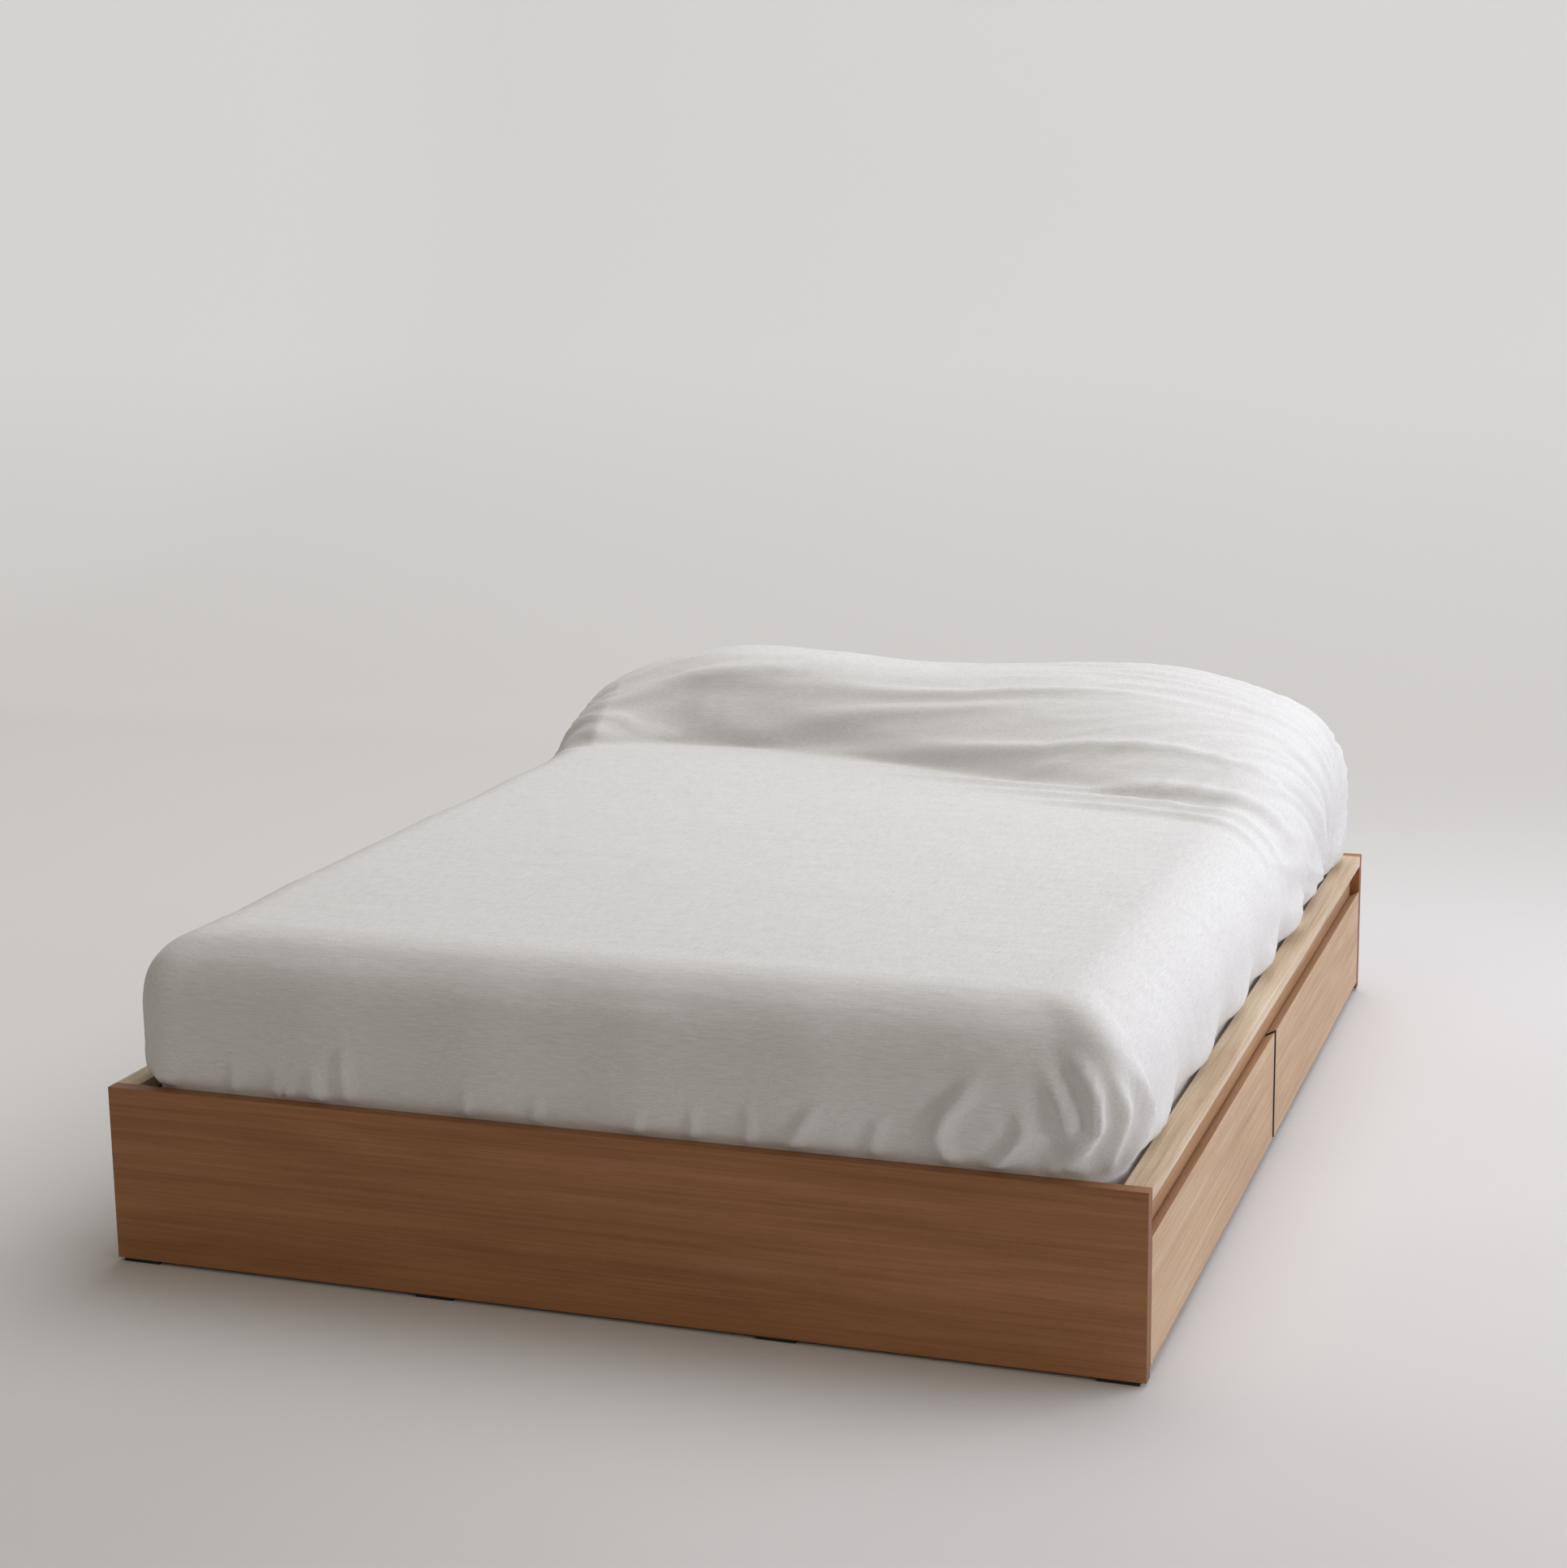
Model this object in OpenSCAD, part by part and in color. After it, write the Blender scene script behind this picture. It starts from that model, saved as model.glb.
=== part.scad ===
// Tatami platform bed: low oak-veneered box frame, four storage drawers, made-up bedding.
// Origin: on the floor under the middle of the bed. +X is the drawer side, +Y the head end.

/* [Mattress] */
// Width of the mattress
mattress_w = 1500; // [1200:10:1800]
// Length of the mattress
mattress_l = 2000; // [1900:10:2200]
// Thickness of the mattress
mattress_h = 250; // [180:5:320]
// Corner radius of the mattress in plan
mattress_corner = 60; // [50:1:90]
// Width and drop of the mattress's softened top edge
mattress_edge = 40; // [20:1:45]

/* [Frame] */
// Clearance between the mattress and the frame on each long side
side_clear = 20; // [14:1:40]
// Clearance between the mattress and the frame at each end
end_clear = 11; // [10:0.5:30]
// Height of the frame's top edge above the floor
bed_h = 282; // [270:1:340]
// Thickness of the foot panel and the head panel
panel_t = 24; // [18:1:36]
// Height of the floor glides that the panels stand on
glide_h = 6; // [3:0.5:12]
// Width of the cap boards along the long sides
cap_w = 40; // [36:1:80]
// Thickness of the cap boards
cap_t = 20; // [12:1:28]
// Thickness of the apron boards under the caps
apron_t = 18; // [12:1:20]
// Height of the top face of the slats above the floor
slat_top = 240; // [230:1:255]
// Thickness of the middle board along the bed
spine_t = 24; // [16:1:36]
// Thickness of the boards between two drawers
divider_t = 18; // [12:1:24]

/* [Slats] */
// Number of slats
slat_n = 15; // [10:1:18]
// Width of one slat
slat_w = 90; // [60:1:100]
// Thickness of one slat
slat_t = 20; // [14:1:22]
// Height of the battens that carry the slats
ledger_h = 30; // [27:1:34]
// Thickness of those battens
ledger_t = 20; // [16:1:30]

/* [Drawers] */
// Thickness of a drawer front
front_t = 18; // [14:1:22]
// Height of the underside of the drawer fronts above the floor
front_z = 20; // [12:1:26]
// Height of the outer top edge of the drawer fronts above the floor
front_top = 210; // [204:1:222]
// Drop of the bevelled top edge towards the apron
front_bevel = 10; // [4:0.5:14]
// Gap between two drawer fronts
front_gap = 10; // [2:0.5:12]
// Gap between a drawer front and the panel beside it
front_end_gap = 3; // [2:0.5:8]
// Depth of a drawer box behind its front
drawer_d = 650; // [620:5:690]
// Height of a drawer box
drawer_h = 140; // [110:1:144]
// Height of the underside of a drawer box above the floor
drawer_z = 34; // [28:1:36]
// Thickness of the drawer sides and backs
drawer_t = 12; // [10:0.5:16]
// Thickness of the drawer bottoms
bottom_t = 6; // [4:0.5:9]
// How far a drawer pulls out
drawer_travel = 500; // [300:10:520]

/* [Runners] */
// Length of a runner
runner_l = 600; // [560:5:610]
// Height of a runner
runner_h = 45; // [36:1:52]
// Thickness of a runner, and the room it takes beside a drawer box
runner_t = 12.7; // [11:0.1:16]
// Sheet thickness of the runner members
runner_sheet = 1.5; // [1:0.1:2]
// Height of the middle of a runner above the floor
runner_z = 100; // [90:1:115]

/* [Bedding] */
// Loft of the bedcover on top of the mattress
cover_loft = 32; // [20:1:50]
// Bulge of the bedcover over the cap boards, out from the mattress
cover_side_bulge = 38; // [24:1:50]
// Bulge of the bedcover at the two ends, out from the mattress
cover_end_bulge = 30; // [20:1:34]
// Depth of the tuck between mattress and frame, below the frame's top edge
cover_tuck = 35; // [10:1:38]
// Rise of the bedcover over the pillows
pillow_rise = 160; // [100:1:190]
// How much nearer to the foot end the rise starts on the right-hand side
rise_skew = 240; // [0:5:260]
// Width of one pillow
pillow_w = 690; // [560:5:720]
// Depth of one pillow, from its front edge to the head end
pillow_d = 380; // [340:5:460]

/* [Hidden] */

oak = "peru";
oak_pale = "burlywood";
birch = "wheat";
steel = "silver";
black = "dimgray";
linen = "whitesmoke";

// Half sizes of the well that takes the mattress
well_x = mattress_w / 2 + side_clear;
well_y = mattress_l / 2 + end_clear;
bed_x = well_x + cap_w;
bed_y = well_y + panel_t;

// A drawer front closes against the apron with a small gap
close_gap = 0.5;
apron_out = bed_x - front_t - close_gap;
apron_in = apron_out - apron_t;
cap_z = bed_h - cap_t;
slat_z = slat_top - slat_t;
ledger_z = slat_z - ledger_h;
ledger_in = apron_in - ledger_t;
apron_lap = 15;
apron_z = front_top - front_bevel - apron_lap;

// Slats end just short of the aprons
slat_end_gap = 1;
slat_pitch = 2 * well_y / slat_n;

// Floor glides under the panels, the spine and the dividers
glide_l = 60;
glide_w = 20;
glide_inset = 40;
glide_mid = bed_x / 3;
spine_glide_step = well_y / 2;

// Room for one drawer, between a panel and the divider
room_end = well_y;
room_mid = divider_t / 2;
box_far = room_end - runner_t;
box_near = room_mid + runner_t;
front_in = bed_x - front_t;
box_back = front_in - drawer_d;

// Grooves for the drawer bottoms
groove = 6;
groove_gap = 0.1;
bottom_lift = 10;
bottom_z = drawer_z + bottom_lift;

// Runner members slide in one another with this running gap
run_gap = 0.4;
rail_front_gap = 5;
rail_front = front_in - rail_front_gap;
rail_back = rail_front - runner_l;
rail_lip = 9;

// Countersunk screws: head and shank radius, head depth, shank length
screw_head_r = 3.6;
screw_shank_r = 1.9;
screw_head_d = 1.2;
screw_hold = 9;
screw_gap = 0.1;
rail_screw_share = 0.1;
rail_screw_inset = runner_l * rail_screw_share;
rail_screw_x = [rail_back + rail_screw_inset, rail_front - rail_screw_inset];

// Steel angles in the four corners under the slats
bracket_l = 44;
bracket_t = 3;
bracket_h = 24;
bracket_z = ledger_z + (ledger_h - bracket_h) / 2;
bracket_hole = [14, 34];
bracket_mid_z = bracket_z + bracket_h / 2;

// A seated soft piece lies this far from its seat
seat_gap = 0.3;
mattress_z = slat_top + seat_gap;
mattress_top = mattress_z + mattress_h;

module board(x0, x1, y0, y1, z0, z1) {
    translate([x0, y0, z0]) cube([x1 - x0, y1 - y0, z1 - z0]);
}

// Flips a right-hand or head-end piece to the left side (sx = -1) or the foot end (sy = -1)
module place(sx, sy) {
    mirror([sx < 0 ? 1 : 0, 0, 0]) mirror([0, sy < 0 ? 1 : 0, 0]) children();
}

// A countersunk screw whose head lies flush at z = 0 and whose shank points to -Z
module screw(grow = 0) {
    rotate_extrude($fn = 32)
        polygon([
            [0, 0], [screw_head_r + grow, 0], [screw_shank_r + grow, -screw_head_d],
            [screw_shank_r + grow, -screw_hold - grow], [0, -screw_hold - grow]
        ]);
}

// ---- Frame ----

// The screws of one corner bracket, in the head-right corner
module bracket_screw_set(grow = 0) {
    for (d = bracket_hole) {
        translate([ledger_in - bracket_t, well_y - d, bracket_mid_z])
            rotate([0, -90, 0]) screw(grow);
        translate([ledger_in - d, well_y - bracket_t, bracket_mid_z])
            rotate([90, 0, 0]) screw(grow);
    }
}

// The screws of both runners of the drawer in the head-right quarter
module rail_screw_set(grow = 0) {
    for (x = rail_screw_x) {
        translate([x, room_end - runner_sheet, runner_z]) rotate([90, 0, 0]) screw(grow);
        translate([x, room_mid + runner_sheet, runner_z]) rotate([-90, 0, 0]) screw(grow);
    }
}

// The end panel at the head; the foot panel is its mirror image
module end_panel() {
    difference() {
        board(-bed_x, bed_x, well_y, bed_y, glide_h, bed_h);
        for (sx = [-1, 1]) place(sx, 1) {
            bracket_screw_set(screw_gap);
            rail_screw_set(screw_gap);
        }
    }
}

module footboard() {
    color(oak) place(1, -1) end_panel();
}

module head_panel() {
    color(oak) end_panel();
}

module cap(sx) {
    color(oak_pale) place(sx, 1) board(well_x, bed_x, -well_y, well_y, cap_z, bed_h);
}

module apron(sx) {
    color(oak) place(sx, 1) board(apron_in, apron_out, -well_y, well_y, apron_z, cap_z);
}

module centre_spine() {
    color(birch) board(-spine_t / 2, spine_t / 2, -well_y, well_y, glide_h, slat_z);
}

// The divider runs under the apron to the back of the drawer fronts
module divider(sx) {
    profile = [
        [spine_t / 2, glide_h], [apron_out, glide_h], [apron_out, apron_z], [apron_in, apron_z],
        [apron_in, ledger_z], [ledger_in, ledger_z], [ledger_in, slat_z], [spine_t / 2, slat_z]
    ];
    color(birch) difference() {
        place(sx, 1) translate([0, divider_t / 2, 0]) rotate([90, 0, 0])
            linear_extrude(divider_t) polygon(profile);
        for (sy = [-1, 1]) place(sx, sy) rail_screw_set(screw_gap);
    }
}

module slat_ledger(sx) {
    color(birch) difference() {
        place(sx, 1) board(ledger_in, apron_in, -well_y, well_y, ledger_z, slat_z);
        for (sy = [-1, 1]) place(sx, sy) bracket_screw_set(screw_gap);
    }
}

module slats() {
    slat_x = apron_in - slat_end_gap;
    color(birch) for (i = [0 : slat_n - 1]) {
        y = -well_y + slat_pitch * (i + 0.5);
        board(-slat_x, slat_x, y - slat_w / 2, y + slat_w / 2, slat_z, slat_top);
    }
}

module glide(x, y, along_y = false) {
    l = along_y ? glide_w : glide_l;
    w = along_y ? glide_l : glide_w;
    board(x - l / 2, x + l / 2, y - w / 2, y + w / 2, 0, glide_h);
}

module floor_glides() {
    glide_x = bed_x - glide_inset;
    color(black) {
        for (x = [-glide_x, -glide_mid, glide_mid, glide_x], sy = [-1, 1])
            glide(x, sy * (bed_y - panel_t / 2));
        for (i = [-1 : 1]) glide(0, i * spine_glide_step, true);
        for (sx = [-1, 1]) glide(sx * glide_mid * 2, 0);
    }
}

module corner_brackets() {
    color(steel) for (sx = [-1, 1], sy = [-1, 1]) place(sx, sy) difference() {
        union() {
            board(ledger_in - bracket_t, ledger_in, well_y - bracket_l, well_y,
                  bracket_z, bracket_z + bracket_h);
            board(ledger_in - bracket_l, ledger_in, well_y - bracket_t, well_y,
                  bracket_z, bracket_z + bracket_h);
        }
        bracket_screw_set(screw_gap);
    }
}

module bracket_screws() {
    color(steel) for (sx = [-1, 1], sy = [-1, 1]) place(sx, sy) bracket_screw_set();
}

module rail_screws() {
    color(steel) for (sx = [-1, 1], sy = [-1, 1]) place(sx, sy) rail_screw_set();
}

// ---- Runners ----

// A channel along X, open towards +Y, with its web at y = 0 and lips of the given reach
module channel(h, reach) {
    y_web = runner_sheet;
    translate([rail_back, 0, runner_z]) rotate([90, 0, 90]) linear_extrude(runner_l)
        polygon([
            [0, -h / 2], [reach, -h / 2], [reach, -h / 2 + runner_sheet],
            [y_web, -h / 2 + runner_sheet], [y_web, h / 2 - runner_sheet],
            [reach, h / 2 - runner_sheet], [reach, h / 2], [0, h / 2]
        ]);
}

// Places a runner on the divider and, mirrored, on the end panel of one quarter
module runner_pair() {
    translate([0, room_mid, 0]) children();
    translate([0, room_end, 0]) mirror([0, 1, 0]) children();
}

middle_h = runner_h - 2 * (runner_sheet + run_gap);
inner_h = middle_h - 2 * (runner_sheet + run_gap);

module cabinet_rails(sx, sy) {
    color(steel) place(sx, sy) difference() {
        runner_pair() channel(runner_h, runner_t - runner_sheet - run_gap);
        rail_screw_set(screw_gap);
    }
}

module middle_rails(sx, sy) {
    color(steel) place(sx, sy) runner_pair()
        translate([0, runner_sheet + run_gap, 0]) channel(middle_h, rail_lip - run_gap);
}

// The drawer member's web lies on the drawer side and its lips reach back into the middle member
module drawer_rails(sx, sy) {
    color(steel) place(sx, sy) difference() {
        runner_pair() translate([0, runner_t, 0]) mirror([0, 1, 0])
            channel(inner_h, rail_lip - runner_sheet);
        drawer_screw_set(screw_gap);
    }
}

// ---- Drawers, drawn in the head-right quarter ----

module drawer_screw_set(grow = 0) {
    for (x = rail_screw_x) {
        translate([x, box_far + runner_sheet, runner_z]) rotate([-90, 0, 0]) screw(grow);
        translate([x, box_near - runner_sheet, runner_z]) rotate([90, 0, 0]) screw(grow);
    }
}

module bottom_slot() {
    board(box_back - 1, front_in + groove, box_near + drawer_t - groove,
          box_far - drawer_t + groove, bottom_z - groove_gap, bottom_z + bottom_t + groove_gap);
}

module drawer_front(sx, sy) {
    profile = [
        [front_in, front_z], [bed_x, front_z], [bed_x, front_top],
        [front_in, front_top - front_bevel]
    ];
    length = well_y - front_end_gap - front_gap / 2;
    color(oak_pale) place(sx, sy) difference() {
        translate([0, front_gap / 2 + length, 0]) rotate([90, 0, 0])
            linear_extrude(length) polygon(profile);
        bottom_slot();
    }
}

module drawer_side(sx, sy, outer) {
    y0 = outer ? box_far - drawer_t : box_near;
    color(birch) place(sx, sy) difference() {
        board(box_back, front_in, y0, y0 + drawer_t, drawer_z, drawer_z + drawer_h);
        bottom_slot();
        drawer_screw_set(screw_gap);
    }
}

// The back stands on the drawer bottom
module drawer_back(sx, sy) {
    color(birch) place(sx, sy)
        board(box_back, box_back + drawer_t, box_near + drawer_t, box_far - drawer_t,
              bottom_z + bottom_t, drawer_z + drawer_h);
}

module drawer_bottom(sx, sy) {
    color(birch) place(sx, sy)
        board(box_back, front_in + groove - groove_gap, box_near + drawer_t - groove + groove_gap,
              box_far - drawer_t + groove - groove_gap, bottom_z, bottom_z + bottom_t);
}

module drawer_screws(sx, sy) {
    color(steel) place(sx, sy) drawer_screw_set();
}

// ---- Bedding ----

// Grid lines across and along the bed, closer together at the corners and over the pillows
half_x = mattress_w / 2;
half_y = mattress_l / 2;
corner_lines = [0, 0.3, 0.62, 1];
lines_x = 9;
lines_foot = 5;
lines_pillow = 8;
pillow_toe = 100;
pillow_front = half_y - pillow_d - pillow_toe;

function between(from, to, n) = [for (i = [1 : n]) from + (to - from) * i / (n + 1)];
low_lines = [for (c = corner_lines) c * mattress_corner];
grid_x = concat(
    [for (d = low_lines) d - half_x],
    between(mattress_corner - half_x, half_x - mattress_corner, lines_x),
    [for (i = [3 : -1 : 0]) half_x - low_lines[i]]
);
grid_y = concat(
    [for (d = low_lines) d - half_y],
    between(mattress_corner - half_y, pillow_front - rise_skew, lines_foot),
    between(pillow_front - rise_skew - mattress_corner, half_y - mattress_corner, lines_pillow),
    [for (i = [3 : -1 : 0]) half_y - low_lines[i]]
);
nx = len(grid_x) - 1;
ny = len(grid_y) - 1;
loop_n = 2 * (nx + ny);

// Border index to grid cell, counter-clockwise from the foot-left corner
function border_ij(k) =
    k < nx ? [k, 0]
    : k < nx + ny ? [nx, k - nx]
    : k < 2 * nx + ny ? [2 * nx + ny - k, ny]
    : [0, loop_n - k];

// Point of the rounded plan outline for a point q of the sharp one, grown outwards by off
function clamp(v, lim) = max(-lim, min(lim, v));
function core(q) = [clamp(q[0], half_x - mattress_corner), clamp(q[1], half_y - mattress_corner)];
function outward(q) = (q - core(q)) / norm(q - core(q));
function grown(q, off) = core(q) + outward(q) * (mattress_corner + off);
function border_q(k) = let (ij = border_ij(k)) [grid_x[ij[0]], grid_y[ij[1]]];

// Smooth step from 0 to 1
function ease(t) = let (s = max(0, min(1, t))) s * s * (3 - 2 * s);

// Share of the pillow rise at a point: two soft humps side by side, low at the ends
hump_x = mattress_w / 4;
hump_dip = 0.10;
hump_end = 0.60;
hump_power = 2.2;
hump_back = 0.30;
climb_share = 0.6;
back_share = 0.42;
function hump_across(x) =
    let (a = abs(x), beyond = max(0, (a - hump_x) / (half_x - hump_x)))
    1 - hump_dip * (1 - ease(a / hump_x)) - hump_end * pow(beyond, hump_power);
skew_share = 1.6;
crest_y = pillow_front + pillow_d * climb_share;
function rise_y(x) = pillow_front - rise_skew * ease((x + hump_x) / mattress_w * skew_share);
function hump_along(x, y) =
    ease((y - rise_y(x)) / (crest_y - rise_y(x)))
    * (1 - hump_back * ease((y - half_y + pillow_d * back_share) / (pillow_d * back_share)));
function bulge(p) = hump_across(p[0]) * hump_along(p[0], p[1]);

// Height of the bedcover's outer and inner faces over the mattress
cover_crown = 8;
function crown(p) = (1 - pow(abs(p[0]) / half_x, 2)) * (1 - pow(abs(p[1]) / half_y, 2));
function outer_z(p) =
    mattress_top + cover_loft + cover_crown * crown(p) + pillow_rise * bulge(p);
function inner_z(p) = mattress_top + 2 * seat_gap + pillow_rise * bulge(p);

// The bedcover's top starts this far in from the mattress's side faces
shoulder_inset = mattress_edge + 4;

// Soft scallops along the lower edge, deepest at the foot-right corner
scallop_w = 290;
scallop_d = 6;
function scallop(p) =
    scallop_d * sin(360 * (p[0] + p[1]) / scallop_w)
    * (0.5 + 0.5 * ease((p[0] - p[1]) / (half_x + half_y)));

// One ring of the cover: plan offset and height at each border point
function ring(zs, offs) = [for (k = [0 : loop_n - 1])
    let (g = grown(border_q(k), offs[k])) [g[0], g[1], zs[k]]];

function bulge_off(k) =
    let (n = outward(border_q(k)))
    cover_end_bulge + (cover_side_bulge - cover_end_bulge) * abs(n[0]);

module bedcover() {
    tuck_gap = 0.6;
    hem_off = min(side_clear, end_clear) - tuck_gap;
    hem_z = bed_h - cover_tuck;
    lip_gap = 2;
    lip_z = bed_h + lip_gap;
    // Shares of the rise at the bulge's start, belly and turn, and how much bulge is left there
    share_low = 0.16;
    share_belly = 0.62;
    share_turn = 0.86;
    turn_left = 0.4;
    border = [for (k = [0 : loop_n - 1]) border_q(k)];
    shoulder = [for (q = border) grown(q, -shoulder_inset)];
    top_z = [for (p = shoulder) outer_z(p)];
    rise = [for (z = top_z) z - lip_z];
    n = loop_n - 1;
    // Outer rings from the hem up to the shoulder: height share and plan offset of each
    rings = [
        ring([for (k = [0 : n]) hem_z], [for (k = [0 : n]) hem_off]),
        ring([for (k = [0 : n]) lip_z], [for (k = [0 : n]) hem_off]),
        ring([for (k = [0 : n]) lip_z + rise[k] * share_low],
             [for (k = [0 : n]) bulge_off(k) - scallop_d + scallop(border[k])]),
        ring([for (k = [0 : n]) lip_z + rise[k] * share_belly], [for (k = [0 : n]) bulge_off(k)]),
        ring([for (k = [0 : n]) lip_z + rise[k] * share_turn],
             [for (k = [0 : n]) bulge_off(k) * turn_left]),
        [for (k = [0 : n]) let (p = shoulder[k]) [p[0], p[1], top_z[k]]]
    ];
    inner_top = [for (p = shoulder) inner_z(p)];
    inner_rings = [
        ring([for (k = [0 : n]) hem_z], [for (k = [0 : n]) tuck_gap]),
        ring([for (k = [0 : n]) inner_top[k] - mattress_edge], [for (k = [0 : n]) tuck_gap]),
        ring([for (k = [0 : n]) inner_top[k]], [for (k = [0 : n]) tuck_gap - mattress_edge])
    ];
    color(linen) shell(rings, inner_rings);
}

// Height field over the grid's inside, closed by the border points of its last ring
function top_points(height) = [for (j = [1 : ny - 1], i = [1 : nx - 1])
    let (p = [grid_x[i] * (1 - shoulder_inset / half_x), grid_y[j] * (1 - shoulder_inset / half_y)])
    [p[0], p[1], height == "outer" ? outer_z(p) : inner_z(p)]];

// Closed skin: outer side rings and top, inner side rings and top, joined along the hem
module shell(outer, inner) {
    no = len(outer);
    ni = len(inner);
    inside_n = (nx - 1) * (ny - 1);
    points = concat([for (r = outer) each r], top_points("outer"),
                    [for (r = inner) each r], top_points("inner"));
    inner_base = no * loop_n + inside_n;
    function grid_id(i, j, base, rings) =
        (i > 0 && i < nx && j > 0 && j < ny)
        ? base + rings * loop_n + (j - 1) * (nx - 1) + i - 1
        : base + (rings - 1) * loop_n + border_id(i, j);
    side_out = [for (r = [0 : no - 2], k = [0 : loop_n - 1])
        let (a = r * loop_n, m = (k + 1) % loop_n)
        each [[a + k, a + loop_n + m, a + m], [a + k, a + loop_n + k, a + loop_n + m]]];
    side_in = [for (r = [0 : ni - 2], k = [0 : loop_n - 1])
        let (a = inner_base + r * loop_n, m = (k + 1) % loop_n)
        each [[a + k, a + m, a + loop_n + m], [a + k, a + loop_n + m, a + loop_n + k]]];
    hem = [for (k = [0 : loop_n - 1])
        let (m = (k + 1) % loop_n)
        each [[k, m, inner_base + m], [k, inner_base + m, inner_base + k]]];
    cells = [for (j = [0 : ny - 1], i = [0 : nx - 1]) [i, j]];
    top_out = [for (c = cells)
        let (a = grid_id(c[0], c[1], 0, no), b = grid_id(c[0] + 1, c[1], 0, no),
             d = grid_id(c[0] + 1, c[1] + 1, 0, no), e = grid_id(c[0], c[1] + 1, 0, no))
        each quad(a, e, d, b, c)];
    top_in = [for (c = cells)
        let (a = grid_id(c[0], c[1], inner_base, ni), b = grid_id(c[0] + 1, c[1], inner_base, ni),
             d = grid_id(c[0] + 1, c[1] + 1, inner_base, ni),
             e = grid_id(c[0], c[1] + 1, inner_base, ni))
        each quad(a, b, d, e, c)];
    polyhedron(points, concat(side_out, side_in, hem, top_out, top_in));
}

// Two triangles for a cell, cut so that no triangle lies along a corner of the border
function quad(a, b, c, d, cell) =
    (cell[0] < nx / 2) == (cell[1] < ny / 2)
    ? [[a, b, c], [a, c, d]]
    : [[a, b, d], [b, c, d]];

function border_id(i, j) =
    j == 0 ? i
    : i == nx ? nx + j
    : j == ny ? 2 * nx + ny - i
    : loop_n - j;

// Block of foam with rounded plan corners and a softened edge at top and bottom
module mattress() {
    levels = [
        [0, -mattress_edge], [mattress_edge, 0],
        [mattress_h - mattress_edge, 0], [mattress_h, -mattress_edge]
    ];
    points = [for (v = levels, k = [0 : loop_n - 1])
        let (g = grown(border_q(k), v[1])) [g[0], g[1], mattress_z + v[0]]];
    sides = [for (r = [0 : 2], k = [0 : loop_n - 1])
        let (a = r * loop_n, m = (k + 1) % loop_n)
        each [[a + k, a + loop_n + m, a + m], [a + k, a + loop_n + k, a + loop_n + m]]];
    low = [for (k = [0 : loop_n - 1]) k];
    high = [for (k = [loop_n - 1 : -1 : 0]) 3 * loop_n + k];
    color("white") polyhedron(points, concat(sides, [low], [high]));
}

// Crowned pillow with drawn-in edges, under the bedcover's rise
pillow_steps = 28;
pillow_rings = [0, 0.3, 0.55, 0.75, 0.9, 1];
pillow_skin = 14;
pillow_back = 20;
pillow_gap = 30;
pillow_edge_h = 22;
pillow_fill = 0.96;
pillow_round = 2.2;
pillow_square = 4;
pillow_base = 0.94;
pillow_x = pillow_w / 2 + pillow_gap / 2;
pillow_y = half_y - pillow_back - pillow_d / 2;

module pillow(sx) {
    base = mattress_top + seat_gap;
    // Rounded-square plan outline: sides drawn in, corners full
    function plan(a) = let (c = cos(a), s = sin(a),
             e = pow(pow(abs(c), pillow_square) + pow(abs(s), pillow_square), -1 / pillow_square))
        [c * e * pillow_w / 2, s * e * pillow_d / 2];
    function loft(t, p) = pillow_edge_h
        + max(0, pillow_rise * bulge(p) - pillow_skin - pillow_edge_h)
          * sqrt(1 - pow(t, pillow_round)) * pillow_fill;
    angles = [for (i = [0 : pillow_steps - 1]) i * 360 / pillow_steps];
    rim = len(pillow_rings) - 1;
    top = [for (r = [1 : rim], a = angles)
        let (t = pillow_rings[r], q = plan(a) * t, p = [q[0] + pillow_x, q[1] + pillow_y])
        [p[0], p[1], base + loft(t, p)]];
    centre = [pillow_x, pillow_y];
    low = [for (a = angles) let (q = plan(a) * pillow_base) [q[0] + pillow_x, q[1] + pillow_y, base]];
    points = concat(top, low, [[centre[0], centre[1], base + loft(0, centre)]]);
    m = pillow_steps;
    last = len(points) - 1;
    faces = concat(
        [for (k = [0 : m - 1]) [last, (k + 1) % m, k]],
        [for (r = [0 : rim - 1], k = [0 : m - 1])
            let (a = r * m, b = (k + 1) % m)
            each [[a + k, a + b, a + m + b], [a + k, a + m + b, a + m + k]]],
        [[for (k = [0 : m - 1]) rim * m + k]]
    );
    color("white") place(sx, 1) polyhedron(points, faces);
}

footboard();
head_panel();
cap(1);  // cap_right
cap(-1);  // cap_left
apron(1);  // apron_right
apron(-1);  // apron_left
centre_spine();
divider(1);  // divider_right
divider(-1);  // divider_left
slat_ledger(1);  // slat_ledger_right
slat_ledger(-1);  // slat_ledger_left
slats();
floor_glides();
corner_brackets();
bracket_screws();
rail_screws();
mattress();
pillow(1);  // pillow_right
pillow(-1);  // pillow_left
bedcover();
cabinet_rails(1, -1);  // right_foot_cabinet_rails
cabinet_rails(1, 1);  // right_head_cabinet_rails
cabinet_rails(-1, -1);  // left_foot_cabinet_rails
cabinet_rails(-1, 1);  // left_head_cabinet_rails
middle_rails(1, -1);  // right_foot_middle_rails
middle_rails(1, 1);  // right_head_middle_rails
middle_rails(-1, -1);  // left_foot_middle_rails
middle_rails(-1, 1);  // left_head_middle_rails
drawer_rails(1, -1);  // right_foot_drawer_rails
drawer_rails(1, 1);  // right_head_drawer_rails
drawer_rails(-1, -1);  // left_foot_drawer_rails
drawer_rails(-1, 1);  // left_head_drawer_rails
drawer_front(1, -1);  // right_foot_drawer_front
drawer_front(1, 1);  // right_head_drawer_front
drawer_front(-1, -1);  // left_foot_drawer_front
drawer_front(-1, 1);  // left_head_drawer_front
drawer_side(1, -1, true);  // right_foot_drawer_outer_side
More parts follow.
